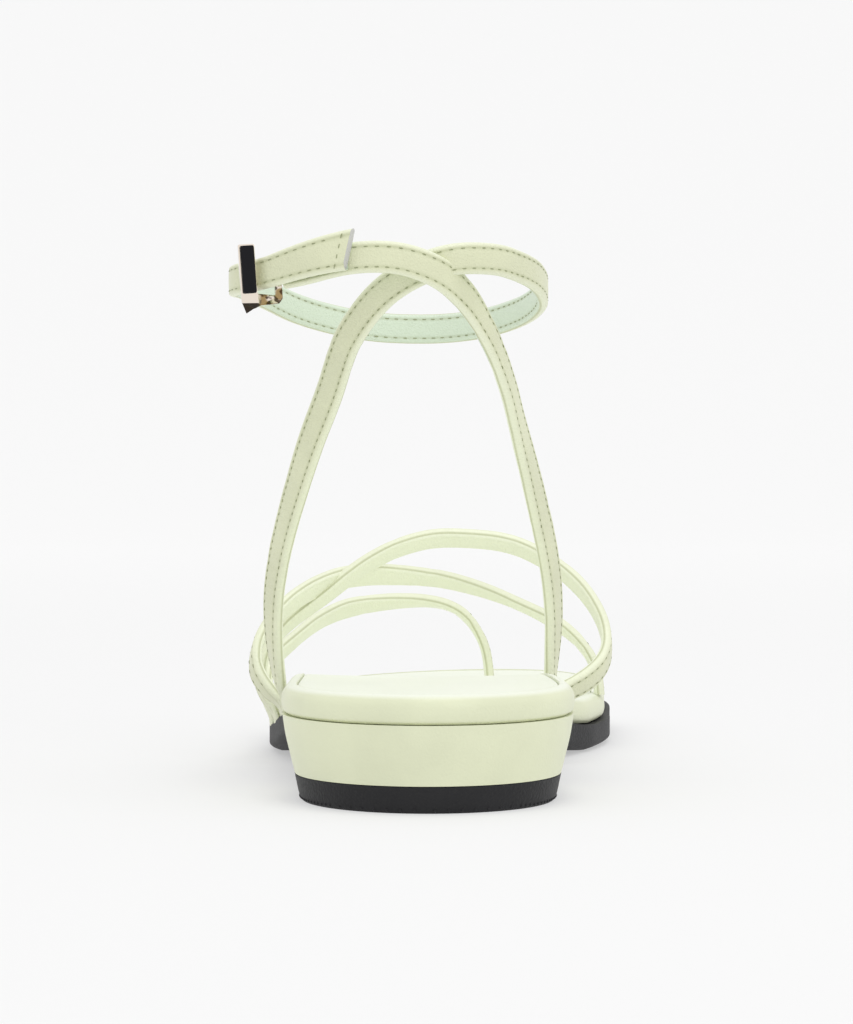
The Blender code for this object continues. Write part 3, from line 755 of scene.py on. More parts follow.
# %% [markdown]
# The lift is a slab of the same rubber under the block. A scaled copy of the block's lowest
# ring could be extruded for it, but scaling would move the corners off the block's. Rings
# of the same outline meet it exactly, so the insets start where the block's taper ends.

# %% Heel lift
def level(height):
    return lambda x, back: height


def make_heel_lift():
    shape = outline(end=BREAST)
    layers = [
        (HEEL_TAPER + edge.inset * LIFT_TAPER, level(edge.up * LIFT_THICKNESS))
        for edge in fine_edge(LIFT_EDGE, count=10)
    ]
    return ring_solid("heel_lift_skin", shape, layers, rubber.material)


heel_lift = make_heel_lift()
print("heel lift points:", len(heel_lift.data.vertices))

# %% [markdown]
# The lift's moulded tread comes up to its edge as a row of small dots. An array along a
# curve could set them, but walking along the lift's own ring needs no second object.

# %% Tread dots
DOT_PITCH = 0.0016
DOT_SIZE = 0.00035
DOT_HEIGHT = 0.0007


def make_tread_dots():
    """Small knobs along the lift's lower edge, from the outer corner to the inner one."""
    inset = HEEL_TAPER + LIFT_EDGE[1].inset * LIFT_TAPER
    ring = ring_of(outline(end=BREAST), inset, level(DOT_HEIGHT))
    bm = bmesh.new()
    gone = 0.0
    for before, after in zip(ring, ring[1:]):
        gone += (after - before).length
        if gone < DOT_PITCH:
            continue
        gone = 0.0
        made = bmesh.ops.create_icosphere(bm, subdivisions=2, radius=DOT_SIZE)
        bmesh.ops.translate(bm, verts=made["verts"], vec=after)
    return finish("lift_tread", bm, [rubber.material])


lift_tread = make_tread_dots()
print("points in the tread dots:", len(lift_tread.data.vertices))

# %% [markdown]
# ## Block heel
#
# The leather is pulled down round the block and tapers towards the lift. It puckers a
# little beside the two corners of the breast. Sculpting could make the puckers; a table of
# soft slanted troughs puts them where they are wanted and can be read again later.

# %% Block heel
PUCKER_FADE = 0.005
Pucker = namedtuple("Pucker", "back height slant depth width")
PUCKERS = [
    Pucker(0.058, 0.010, 0.25, 0.00022, 0.0022),
    Pucker(0.050, 0.014, -0.20, 0.00014, 0.0018),
    Pucker(0.040, 0.008, 0.35, 0.00012, 0.0024),
]


def make_heel_block():
    shape = outline(end=BREAST)
    base = LIFT_THICKNESS + SEAM / 2
    layers = []
    for edge in fine_edge(BLOCK_EDGE, count=24):
        height = base + edge.up * (BLOCK_HEIGHT + SEAM)

        def inset(back, turn, e=edge, h=height):
            trough = 0.0
            for fold in PUCKERS:
                off = (back - fold.back - fold.slant * (h - fold.height)) / fold.width
                fade = math.exp(-(((h - fold.height) / PUCKER_FADE) ** 2))
                trough += fold.depth * fade * math.exp(-off * off)
            return e.inset * HEEL_TAPER + trough

        layers.append((inset, level(height)))
    return ring_solid("heel_block_skin", shape, layers, wrap.material)


heel_block = make_heel_block()
print("heel block points:", len(heel_block.data.vertices))

# %% [markdown]
# ## Footbed and insock
#
# The footbed is a foam board wrapped in leather, so its edge turns over in one soft
# round. The cream insock lies in its top, a hair below the turned edge. Cloth simulation
# could drape the wrap, but it is glued tight, so the edge profile alone gives its form.

# %% Footbed
def make_footbed():
    shape = outline()
    layers = []
    for edge in fine_edge(FOOTBED_EDGE, count=20):
        down = (1 - edge.up) * FOOTBED_THICKNESS
        layers.append(
            (
                edge.inset * FOOTBED_THICKNESS,
                lambda x, back, d=down: footbed_top(back) - d,
            )
        )
    depth = INSOCK_THICKNESS + SEAM
    layers.append((INSOCK_INSET, lambda x, back: cupped_top(x, back) - depth))
    return ring_solid("footbed_skin", shape, layers, wrap.material, columns=9)


def mark_painted_top_light(piece, low, high):
    """Keeps how far each point faces up, from 0 at low to 1 at high, for painted top light."""
    mark = piece.data.attributes.new("top", "FLOAT", "POINT")
    for spot, vertex in zip(mark.data, piece.data.vertices):
        share = min(1.0, max(0.0, (vertex.normal.z - low) / (high - low)))
        spot.value = share * share * (3 - 2 * share)


footbed = make_footbed()
mark_painted_top_light(footbed, low=0.62, high=1.0)
print("footbed points:", len(footbed.data.vertices))

# %% [markdown]
# The insock's edge is skived, which rounds it off instead of leaving a step. It could be
# painted on the footbed, but then the seam round it would cast no shadow.

# %% Insock
Skive = namedtuple("Skive", "inset down")
SKIVE = [
    Skive(0.0, 0.0008),
    Skive(0.0, 0.00045),
    Skive(0.00012, 0.00018),
    Skive(0.0004, 0.00004),
    Skive(0.0009, 0.0),
]


def make_insock():
    inset = INSOCK_INSET + SEAM / 5
    layers = [
        (inset + s.inset, lambda x, back, d=s.down: cupped_top(x, back) - d) for s in SKIVE
    ]
    return ring_solid("insock_skin", outline(), layers, cream.material, columns=23)


insock = make_insock()
print("insock points:", len(insock.data.vertices))

# %% [markdown]
# ## Section of a strap
#
# The section is given from the fold inwards: a round of 0.9 mm, a shallow groove where
# the thread pulls the leather down, and a faint crown in the middle. A curve with a flat
# bevel object could sweep it, but it can't keep marks with its points, and the leather
# needs them: it is paler towards the fold.

# %% Section of a strap
EDGE_COLUMNS = [0.0, 0.00008, 0.00022, 0.00042, 0.00068, 0.0009, 0.00105, 0.0012, 0.00136]
CENTRE_SHARES = [0.2, 0.55, 1.0]
EDGE_PALE = 0.75


def rise_at(from_edge, half):
    """Height of the leather over the strap's middle plane."""
    thick = STRAP_THICKNESS / 2
    fold = 1 - min(1.0, from_edge / FOLD)
    groove = GROOVE_DEPTH * math.exp(-(((from_edge - STITCH_INSET) / GROOVE_WIDTH) ** 2))
    crown = CROWN * min(1.0, from_edge / half) ** 2
    return (thick + crown) * math.sqrt(1 - fold ** 2) - groove


def section(width, mint):
    """Points round the strap: across, out, and the marks mint, pale, groove and joint."""
    half = width / 2
    last = EDGE_COLUMNS[-1]
    depths = EDGE_COLUMNS + [last + (half - last) * s for s in CENTRE_SHARES]
    face = [(half - d, d) for d in depths]
    face += [(-w, d) for w, d in reversed(face[:-1])]
    outer = []
    inner = []
    for w, d in face:
        # near marks the groove along the stitch row, which the leather darkens with painted shade
        near = math.exp(-(((d - STITCH_INSET) / GROOVE_WIDTH) ** 2))
        fold_pale = EDGE_PALE * max(0.0, 1 - d / FOLD)
        outer.append((w, rise_at(d, half), 0.0, fold_pale, near, 0.0))
        joint = 1.0 if d == EDGE_COLUMNS[1] else 0.0
        lining = 1.0 if d > EDGE_COLUMNS[1] else 0.0
        marks = (lining, 0.0, near) if mint else (0.0, lining, 0.0)
        inner.append((w, -rise_at(d, half), *marks, joint))
    return outer + inner[-2:0:-1]


print("points round a strap:", len(section(STRAP_WIDTH, True)))

# %% [markdown]
# ## Ends of the straps
#
# The straps are lasted over the footbed's side and end between it and the outsole's lip.
# Their ends could be cut with a boolean; it is simpler to set the last points of a strap
# at the height of what it meets, which is what the three small functions at the end give.

# %% Ends of the straps
def edge_normal(back, side):
    """Outward direction of the footbed's edge, seen from above."""
    step = 0.001
    slope = (side_width(back + step, side) - side_width(back - step, side)) / (2 * step)
    sign = 1.0 if side == "inner" else -1.0
    return Vector((sign, -slope, 0.0)).normalized()


def strap_root(along, side):
    """Two points and the normal of a strap's end, standing on the outsole's lip."""
    back = along * FOOTBED_LENGTH
    sign = 1.0 if side == "inner" else -1.0
    normal = edge_normal(back, side)
    centre = place(sign * side_width(back, side), back, 0.0)
    centre += normal * (SEAM + STRAP_THICKNESS / 2)
    foot = Vector((centre.x, centre.y, outsole_top(back) + SEAM))
    knee = foot + Vector((0.0, 0.0, ROOT_RISE))
    return [foot, knee], normal


def on_lip(x, back):
    return outsole_top(back) - SEAM


def on_rim(x, back):
    return footbed_top(back) - SEAM


def on_insock(x, back):
    return cupped_top(x, back) - SEAM


print("top of the lip in front of the heel in mm:", round(1000 * outsole_top(BREAST), 1))

# %% [markdown]
# ## Path of a strap
#
# The middle line of a strap is read at even steps, with the way that its face looks. A
# curve object could hold the line, but its tilt is hard to set by numbers; a direction
# given at each place is plain to read.

# %% Path of a strap
STRAP_STEP = 0.0011


def smooth_path(points, normals):
    """Evenly spaced points, tangents and normals along a smooth curve."""
    places = [0.0]
    for before, after in zip(points, points[1:]):
        places.append(places[-1] + (after - before).length)
    steps = round(places[-1] / STRAP_STEP)
    marks = [places[-1] * i / steps for i in range(steps + 1)]

    def read(vectors, at):
        return Vector([through(places, [v[axis] for v in vectors], at) for axis in range(3)])

    small = SEAM / 3
    path = []
    for mark in marks:
        low, high = max(0.0, mark - small), min(places[-1], mark + small)
        tangent = (read(points, high) - read(points, low)).normalized()
        normal = read(normals, mark)
        normal = (normal - tangent * normal.dot(tangent)).normalized()
        path.append((read(points, mark), tangent, normal))
    return path


print("places in 100 mm of strap:", round(0.1 / STRAP_STEP))

# %% [markdown]
# A strip of leather can't hold a small kink, so the path is evened out before use. Its
# ends stay where they are. A spline through fewer places would be smooth too, but would
# miss where the photo shows the strap. The long rise of an ankle strap is evened out most.

# %% Even out a path
EVEN_ROUNDS = 16
RISE_ROUNDS = 200
RISE_TOP = 0.096
RISE_FADE = 0.012


def even_out(path, rise=False):
    """The same path with its small kinks taken out."""
    points = [point for point, _, _ in path]
    normals = [normal for _, _, normal in path]
    half = len(path) // 2
    shares = []
    for i, point in enumerate(points):
        low = min(1.0, max(0.0, (RISE_TOP - point.z) / RISE_FADE))
        shares.append(low if i < half else 0.0)
    for k in range(RISE_ROUNDS if rise else EVEN_ROUNDS):
        for row in (points, normals):
            even = [(a + 2 * b + c) / 4 for a, b, c in zip(row, row[1:], row[2:])]
            pull = [1.0 if k < EVEN_ROUNDS else share for share in shares[1:-1]]
            row[1:-1] = [a.lerp(b, share) for a, b, share in zip(row[1:-1], even, pull)]
    last = len(path) - 1
    made = []
    for i, (point, normal) in enumerate(zip(points, normals)):
        tangent = (points[min(i + 1, last)] - points[max(i - 1, 0)]).normalized()
        normal = (normal - tangent * normal.dot(tangent)).normalized()
        made.append((point, tangent, normal))
    return made


print("rounds of evening out:", EVEN_ROUNDS, "and on the rise", RISE_ROUNDS)

# %% [markdown]
# Worn-in leather is never quite straight. Every strap gets a wave of a few hundredths of
# a millimetre and creases at the places where it bends in use, as soft slanted troughs.
# Noise alone could wrinkle a strap anywhere; a crease given in a list sits at a bend.

# %% Creases
Crease = namedtuple("Crease", "share slant depth width")
CREASES = {
    "long": [
        Crease(0.012, 0.2, 0.00012, 0.0010),
        Crease(0.115, 0.5, 0.00007, 0.0012),
        Crease(0.305, -0.4, 0.00010, 0.0011),
        Crease(0.345, 0.3, 0.00009, 0.0009),
        Crease(0.378, -0.2, 0.00008, 0.0012),
        Crease(0.470, 0.3, 0.00012, 0.0010),
        Crease(0.705, 0.2, 0.00014, 0.0011),
        Crease(0.790, -0.2, 0.00013, 0.0010),
        Crease(0.850, 0.1, 0.00014, 0.0009),
    ],
    "short": [
        Crease(0.03, -0.2, 0.00012, 0.0010),
        Crease(0.32, 0.3, 0.00008, 0.0012),
        Crease(0.62, 0.4, 0.00010, 0.0011),
        Crease(0.68, -0.3, 0.00011, 0.0010),
        Crease(0.74, 0.2, 0.00009, 0.0012),
    ],
    "rear": [
        Crease(0.06, 0.2, 0.00012, 0.0010),
        Crease(0.33, -0.3, 0.00009, 0.0012),
        Crease(0.62, 0.3, 0.00009, 0.0012),
        Crease(0.93, -0.2, 0.00012, 0.0010),
    ],
    "front": [
        Crease(0.10, 0.2, 0.00012, 0.0011),
        Crease(0.45, 0.3, 0.00008, 0.0012),
        Crease(0.90, -0.2, 0.00012, 0.0010),
    ],
    "toe": [
        Crease(0.08, 0.2, 0.00012, 0.0010),
        Crease(0.52, -0.3, 0.00010, 0.0011),
        Crease(0.80, 0.3, 0.00014, 0.0010),
    ],
}


def crease_at(name, along, across, length):
    """Depth of the creases at a place on a strap."""
    depth = 0.0
    for crease in CREASES[name]:
        off = (along - crease.share * length - crease.slant * across) / crease.width
        depth += crease.depth * math.exp(-off * off)
    return depth


WAVES = [(0.00006, 160.0), (0.00002, 520.0)]


def wave_at(point):
    """Unevenness of the leather; each wave has a height and a number of bumps per metre."""
    return sum(height * noise.noise(point * bumps) for height, bumps in WAVES)


print("creases placed by hand:", sum(len(rows) for rows in CREASES.values()))

# %% [markdown]
# ## Where the buckle sits
#
# A place round the ankle is a share of the loop's width, of the footbed's length and of
# the loop's height, with the angle that the face looks at: 0 is straight back, 90 the outer
# side. Plain coordinates would work too, but these follow the sizes. The buckle's place
# comes first, because the strap beside its bar lies in its shade.

# %% Place of the buckle
Turn = namedtuple("Turn", "across along above face")
BUCKLE = Turn(-0.603, 0.0965, 0.952, -8)


def facing(degrees):
    angle = math.radians(degrees)
    return Vector((-math.sin(angle), -math.cos(angle), 0.0))


def turn_point(row):
    back = row.along * FOOTBED_LENGTH
    height = footbed_top(back) + row.above * ANKLE_HEIGHT
    return place(row.across * ANKLE_WIDTH, back, height)


print("middle of the buckle in mm:", [round(1000 * v, 1) for v in turn_point(BUCKLE)])

# %% [markdown]
# ## Marks on a strap
#
# The leather's colour changes along a strap: its inside is mint only in the ankle loop, and
# a painted shadow darkens it beside the buckle's bar. Painting an image could show this, but
# a number kept with each point is enough.

# %% Marks on a strap
MARKS = ("mint", "pale", "groove", "joint")
MINT_FROM = 0.090
MINT_FADE = 0.004
BAR_REACH = 0.008
BAR_SHADE = 0.0022
BAR_SHADE_WIDTH = 0.0013


def mark_lining(values, height):
    """Mint in the ankle loop and pale below it; values are in the order of MARKS."""
    share = min(1.0, max(0.0, (height - MINT_FROM) / MINT_FADE))
    values[:2] = [values[0] * share, values[1] + values[0] * (1 - share)]


def mark_bar_shade(values, spot, tangent):
    """Paints the shadow of the buckle's bar on the free end beside it."""
    gap = spot - turn_point(BUCKLE)
    if gap.length < BAR_REACH:
        beside = gap.dot(tangent) - BAR_SHADE
        values[3] = max(values[3], 1 - abs(beside) / BAR_SHADE_WIDTH)


print("marks kept with the points:", MARKS)

# %% [markdown]
# ## Sweeping a strap
#
# The section is carried along the path, ring by ring. An end that is lasted under the
# footbed is skived to half its thickness and pulled in against the footbed's side, as a
# shoemaker does, because a full end would push the outsole's lip out. A cut end slants by a
# given amount and shows the raw edge.

# %% Sweep a strap
SKIVE_LENGTH = 0.006
SKIVE_SHARE = 0.5
SKIVE_PULL = 0.00075


def skived(to_end):
    """Share of the full thickness near a lasted end, and how far the strap is pulled in."""
    share = min(1.0, max(0.0, to_end / SKIVE_LENGTH))
    share = share * share * (3 - 2 * share)
    return SKIVE_SHARE + (1 - SKIVE_SHARE) * share, SKIVE_PULL * (1 - share)


def strap_rings(name, path, trims, widths, slant):
    """Rings of places and marks along a strap."""
    mint = name in ("long", "short")
    rings = []
    along = 0.0
    length = sum((b[0] - a[0]).length for a, b in zip(path, path[1:]))
    for i, (centre, tangent, normal) in enumerate(path):
        if i:
            along += (centre - path[i - 1][0]).length
        across = tangent.cross(normal)
        shift = slant if i == len(path) - 1 else 0.0
        lasted = [d for d, trim in zip((along, length - along), trims) if trim is on_lip]
        thin, pull = skived(min(lasted, default=length))
        ring = []
        for w, n, *values in section(widths[i] if widths else STRAP_WIDTH, mint):
            sink = crease_at(name, along, w, length)
            out = (n - math.copysign(min(sink, abs(n)), n)) * thin - pull
            spot = centre + across * w + normal * out + tangent * (shift * w)
            spot += normal * wave_at(spot)
            if mint:
                mark_lining(values, spot.z)
            if name == "long":
                mark_bar_shade(values, spot, tangent)
            ring.append((spot, values))
        rings.append(ring)
    return rings


print("thickness of a lasted end in mm:", round(1000 * STRAP_THICKNESS * SKIVE_SHARE, 1))

# %% [markdown]
# The rings become faces. Both ends are trimmed at what they meet and closed with one face,
# so that the strap is a solid like the real one.

# %% Strap mesh
def add_strap(bm, name, path, trims=(None, None), widths=None, slant=0.0):
    """Adds one strap to the bmesh."""
    rings = strap_rings(name, path, trims, widths, slant)
    for end, trim in zip((0, -1), trims):
        if trim:
            for spot, values in rings[end]:
                spot.z = trim(spot.x, spot.y + HEEL_CENTRE)
    marks = [bm.verts.layers.float.get(n) for n in MARKS]
    made = []
    for ring in rings:
        points = []
        for spot, values in ring:
            vertex = bm.verts.new(spot)
            for layer, value in zip(marks, values):
                vertex[layer] = value
            points.append(vertex)
        made.append(points)
    for low, high in zip(made, made[1:]):
        bridge(bm, low, high)
    for end, trim in zip((0, -1), trims):
        cap = bm.faces.new(made[end])
        cap.material_index = 0 if trim else 1


def strap_piece(name, parts):
    """One mesh with several straps; each part is a name, a path, trims, widths and slant."""
    bm = bmesh.new()
    for mark in MARKS:
        bm.verts.layers.float.new(mark)
    for part in parts:
        add_strap(bm, *part)
    return finish(name, bm, [leather.material, raw.material], sharp=60)


print("surfaces of a strap:", leather.material.name, "and", raw.material.name)

# %% [markdown]
# ## Stitches
#
# Each stitch is a short slip of thread, sunk at both ends where it goes through the
# leather. An array modifier on a curve could repeat it; a loop keeps all the stitches in
# one mesh and lets each follow the strap's turning face. The rows run a good millimetre in
# from the folds.

# %% Stitches
Slip = namedtuple("Slip", "along up girth")
SLIP = [
    Slip(-0.5, -0.9, 0.35),
    Slip(-0.36, 0.0, 0.9),
    Slip(0.0, 0.35, 1.0),
    Slip(0.36, 0.0, 0.9),
    Slip(0.5, -0.9, 0.35),
]
SLIP_SIDES = 6


def add_stitch(bm, centre, ahead, out):
    """One slip of thread on the surface."""
    side = ahead.cross(out)
    rings = []
    for row in SLIP:
        middle = centre + ahead * (row.along * STITCH_LENGTH) + out * (row.up * STITCH_WIDTH)
        ring = []
        for k in range(SLIP_SIDES):
            turn = 2 * math.pi * k / SLIP_SIDES
            reach = row.girth * STITCH_WIDTH / 2
            offset = side * (math.cos(turn) * reach) + out * (math.sin(turn) * reach)
            ring.append(bm.verts.new(middle + offset))
        rings.append(ring)
    for low, high in zip(rings, rings[1:]):
        bridge(bm, low, high)
    bm.faces.new(rings[0])
    bm.faces.new(rings[-1])


def add_rows(bm, path, widths=None, start=0.0, stop=0.0, faces=(-1, 1)):
    """Stitch rows near both edges of a strap, on its outer face (1), inner face (-1) or both."""
    places = [0.0]
    for before, after in zip(path, path[1:]):
        places.append(places[-1] + (after[0] - before[0]).length)
    count = int((places[-1] - start - stop) / STITCH_PITCH)
    index = 0
    for k in range(count + 1):
        at = start + k * STITCH_PITCH
        while places[index + 1] < at and index < len(places) - 2:
            index += 1
        share = (at - places[index]) / (places[index + 1] - places[index])
        a, b = path[index], path[index + 1]
        centre = a[0].lerp(b[0], share)
        ahead = a[1].lerp(b[1], share).normalized()
        out = a[2].lerp(b[2], share).normalized()
        across = ahead.cross(out)
        half = (widths[index] if widths else STRAP_WIDTH) / 2
        rise = rise_at(STITCH_INSET, half)
        for side in (-1, 1):
            for face in faces:
                spot = centre + across * (side * (half - STITCH_INSET)) + out * (face * rise)
                add_stitch(bm, spot + out * wave_at(spot), ahead, out * face)


print("stitches in 100 mm of strap:", round(0.1 / STITCH_PITCH))

# %% [markdown]
# ## Straps over the foot
#
# Two straps cross on the outer side of the instep, and one goes from the outer side of
# the ball to a post between the first and second toe. The tables say where each passes, as
# shares of the ball's width, the footbed's length and the instep's height. A shrinkwrap
# over a model foot could lay them too, but the photo shows the straps and no foot.

# %% Straps over the foot: where they pass
Pass = namedtuple("Pass", "across along above lean")
REAR_STRAP_ROOTS = (0.465, 0.539)
REAR_STRAP = [
    Pass(0.390, 0.473, -0.032, -0.2),
    Pass(0.438, 0.483, 0.020, -0.25),
    Pass(0.476, 0.496, 0.082, -0.2),
    Pass(0.507, 0.510, 0.163, -0.1),
    Pass(0.524, 0.526, 0.263, 0.0),
    Pass(0.520, 0.541, 0.387, 0.08),
    Pass(0.489, 0.551, 0.540, 0.2),
    Pass(0.403, 0.562, 0.742, 0.38),
    Pass(0.200, 0.568, 0.937, 0.5),
    Pass(0.036, 0.568, 0.955, 0.52),
    Pass(-0.070, 0.566, 0.908, 0.5),
    Pass(-0.168, 0.564, 0.813, 0.45),
    Pass(-0.244, 0.562, 0.703, 0.4),
    Pass(-0.311, 0.558, 0.589, 0.3),
    Pass(-0.425, 0.551, 0.410, 0.15),
    Pass(-0.489, 0.543, 0.201, -0.15),
    Pass(-0.496, 0.541, 0.081, -0.25),
]
FRONT_STRAP_ROOT = 0.477
FRONT_STRAP = [
    Pass(0.516, 0.704, 0.155, 0.05),
    Pass(0.483, 0.7035, 0.275, 0.12),
    Pass(0.428, 0.7015, 0.385, 0.25),
    Pass(0.354, 0.6975, 0.482, 0.35),
    Pass(0.282, 0.687, 0.55, 0.4),
    Pass(0.212, 0.673, 0.613, 0.42),
    Pass(0.036, 0.642, 0.722, 0.43),
    Pass(-0.077, 0.613, 0.744, 0.43),
    Pass(-0.171, 0.591, 0.745, 0.42),
    Pass(-0.257, 0.565, 0.713, 0.38),
    Pass(-0.318, 0.545, 0.656, 0.32),
    Pass(-0.377, 0.525, 0.573, 0.24),
    Pass(-0.424, 0.514, 0.489, 0.16),
    Pass(-0.468, 0.502, 0.367, 0.0),
    Pass(-0.501, 0.490, 0.221, -0.15),
    Pass(-0.501, 0.483, 0.100, -0.3),
    Pass(-0.469, 0.478, -0.001, -0.3),
]
FRONT_SLOT = (0.524, 0.708)
TOE_STRAP_ROOT = 0.597
TOE_STRAP = [
    Pass(-0.481, 0.603, 0.105, -0.25),
    Pass(-0.477, 0.615, 0.198, -0.3),
    Pass(-0.425, 0.642, 0.310, -0.35),
    Pass(-0.331, 0.691, 0.455, -0.3),
    Pass(-0.246, 0.728, 0.520, -0.1),
    Pass(-0.068, 0.774, 0.552, 0.05),
    Pass(0.035, 0.794, 0.535, 0.08),
    Pass(0.091, 0.802, 0.495, 0.06),
    Pass(0.144, 0.815, 0.382, 0.03),
    Pass(0.185, 0.823, 0.215, 0.0),
]
TOE_POST = (0.196, 0.827)
print("places on the straps over the foot:", len(REAR_STRAP) + len(FRONT_STRAP) + len(TOE_STRAP))

# %% [markdown]
# Each strap's face looks away from an axis through the foot and leans forwards or back by
# the table's last number, so no angle has to be given at every place.

# %% Paths over the foot
def pass_points(rows):
    """Points and outward hints of a strap that passes over the foot."""
    points, normals = [], []
    middle = (BALL.inner - BALL.outer) * BALL_WIDTH / 2
    for row in rows:
        back = row.along * FOOTBED_LENGTH
        rim = footbed_top(back)
        point = place(row.across * BALL_WIDTH, back, rim + row.above * INSTEP_HEIGHT)
        out = Vector((point.x - middle, 0.0, point.z - rim - AXIS_HEIGHT)).normalized()
        points.append(point)
        normals.append(out * math.sqrt(1 - row.lean ** 2) + Vector((0.0, row.lean, 0.0)))
    return points, normals


def post(spot, trim):
    """Foot of a strap that goes down through the footbed's top; spot is a pair of shares."""
    x, back = spot[0] * BALL_WIDTH, spot[1] * FOOTBED_LENGTH
    return place(x, back, trim(x, back))


def rear_path():
    start, start_normal = strap_root(REAR_STRAP_ROOTS[0], "inner")
    end, end_normal = strap_root(REAR_STRAP_ROOTS[1], "outer")
    points, normals = pass_points(REAR_STRAP)
    points = start + points + end[::-1]
    return smooth_path(points, [start_normal] * 2 + normals + [end_normal] * 2)


def front_path():
    end, end_normal = strap_root(FRONT_STRAP_ROOT, "outer")
    points, normals = pass_points(FRONT_STRAP)
    points = [post(FRONT_SLOT, on_rim)] + points + end[::-1]
    return smooth_path(points, [normals[0]] + normals + [end_normal] * 2)


def toe_path():
    start, start_normal = strap_root(TOE_STRAP_ROOT, "outer")
    points, normals = pass_points(TOE_STRAP)
    points = start + points + [post(TOE_POST, on_insock)]
    return smooth_path(points, [start_normal] * 2 + normals + [Vector((1.0, 0.0, 0.0))])


rear, front, toe = [even_out(path) for path in (rear_path(), front_path(), toe_path())]
print("places on the three paths:", len(rear), len(front), len(toe))

# %% [markdown]
# The instep pair is one mesh, because the two straps are joined where they cross. Their
# stitches are another mesh: as thread they have a finish of their own. Only the outer faces
# show stitches over the foot.

# %% Straps over the foot
STITCH_START = 0.002
OUTER = (1,)
LASTED = SKIVE_LENGTH + STITCH_LENGTH


def thread_piece(name, rows):
    """One mesh with all the stitches of a strap or a pair of straps."""
    bm = bmesh.new()
    for row in rows:
        add_rows(bm, *row)
    return finish(name, bm, [thread.material])


instep_straps = strap_piece(
    "instep_straps_skin",
    [("rear", rear, (on_lip, on_lip)), ("front", front, (on_rim, on_lip))],
)
toe_strap = strap_piece("toe_strap_skin", [("toe", toe, (on_lip, on_insock))])
instep_thread = thread_piece(
    "instep_thread",
    [(rear, None, LASTED, LASTED, OUTER), (front, None, STITCH_START, LASTED, OUTER)],
)
toe_thread = thread_piece("toe_thread", [(toe, None, LASTED, STITCH_START, OUTER)])
print("points in the instep straps:", len(instep_straps.data.vertices))

# %% [markdown]
# ## Ankle straps
#
# The long strap rises from the outer side of the waist, crosses behind the heel, goes
# round the ankle and comes back outside the short one, where it ends as a free tip. A
# circle could stand for the loop, but the real one sags in front and bulges at the sides,
# so its places are given one by one.

# %% Ankle straps: where they turn
ANKLE_ROOT = 0.428
LONG_STRAP = [
    Turn(-0.558, 0.420, -0.000, 72),
    Turn(-0.576, 0.405, 0.097, 57),
    Turn(-0.577, 0.387, 0.168, 53),
    Turn(-0.561, 0.364, 0.239, 52),
    Turn(-0.527, 0.331, 0.332, 50),
    Turn(-0.484, 0.296, 0.418, 44),
    Turn(-0.444, 0.263, 0.497, 36),
    Turn(-0.397, 0.224, 0.593, 28),
    Turn(-0.347, 0.187, 0.689, 26),
    Turn(-0.294, 0.154, 0.782, 25),
    Turn(-0.211, 0.123, 0.869, 20),
    Turn(-0.134, 0.101, 0.922, 8),
    Turn(0.000, 0.085, 0.971, -12),
    Turn(0.107, 0.087, 0.990, -25),
    Turn(0.229, 0.109, 0.989, -45),
    Turn(0.311, 0.140, 0.974, -62),
    Turn(0.366, 0.167, 0.959, -73),
    Turn(0.400, 0.216, 0.924, -90),
    Turn(0.368, 0.261, 0.896, -107),
    Turn(0.287, 0.309, 0.878, -128),
    Turn(0.160, 0.344, 0.867, -148),
    Turn(0.000, 0.366, 0.866, -166),
    Turn(-0.153, 0.368, 0.869, -184),
    Turn(-0.298, 0.358, 0.880, -200),
    Turn(-0.403, 0.342, 0.892, -212),
    Turn(-0.489, 0.321, 0.905, -221),
    Turn(-0.565, 0.290, 0.924, -234),
    Turn(-0.623, 0.251, 0.937, -248),
    Turn(-0.655, 0.202, 0.945, -264),
    Turn(-0.661, 0.156, 0.942, -275),
    Turn(-0.656, 0.139, 0.943, -287),
    Turn(-0.639, 0.126, 0.945, -305),
    Turn(-0.603, 0.114, 0.949, -320),
    Turn(-0.548, 0.102, 0.954, -322),
]
SHORT_STRAP = [
    Turn(0.448, 0.420, 0.026, -72),
    Turn(0.464, 0.409, 0.073, -65),
    Turn(0.471, 0.395, 0.133, -60),
    Turn(0.464, 0.376, 0.204, -58),
    Turn(0.434, 0.340, 0.309, -54),
    Turn(0.395, 0.302, 0.402, -53),
    Turn(0.358, 0.263, 0.497, -60),
    Turn(0.316, 0.224, 0.593, -71),
    Turn(0.279, 0.187, 0.689, -74),
    Turn(0.230, 0.154, 0.782, -73),
    Turn(0.177, 0.130, 0.850, -66),
    Turn(0.143, 0.116, 0.887, -58),
    Turn(0.090, 0.100, 0.922, -45),
    Turn(0.042, 0.086, 0.951, -30),
    Turn(-0.013, 0.075, 0.969, -16),
]
BUCKLE_STRAP = [
    Turn(-0.093, 0.067, 0.988, -3),
    Turn(-0.173, 0.068, 0.991, 5),
    Turn(-0.252, 0.072, 0.988, 14),
    Turn(-0.332, 0.080, 0.978, 22),
    Turn(-0.413, 0.090, 0.962, 30),
    Turn(-0.478, 0.1015, 0.956, 36),
]
print("places on the ankle straps:", len(LONG_STRAP) + len(SHORT_STRAP) + len(BUCKLE_STRAP))

# %% [markdown]
# The free tip lies on the buckle strap. Its places are the buckle strap's own, one layer of
# leather further out, so the two can't run into each other.

# %% Paths of the ankle straps
def turn_points(rows):
    return [turn_point(row) for row in rows], [facing(row.face) for row in rows]


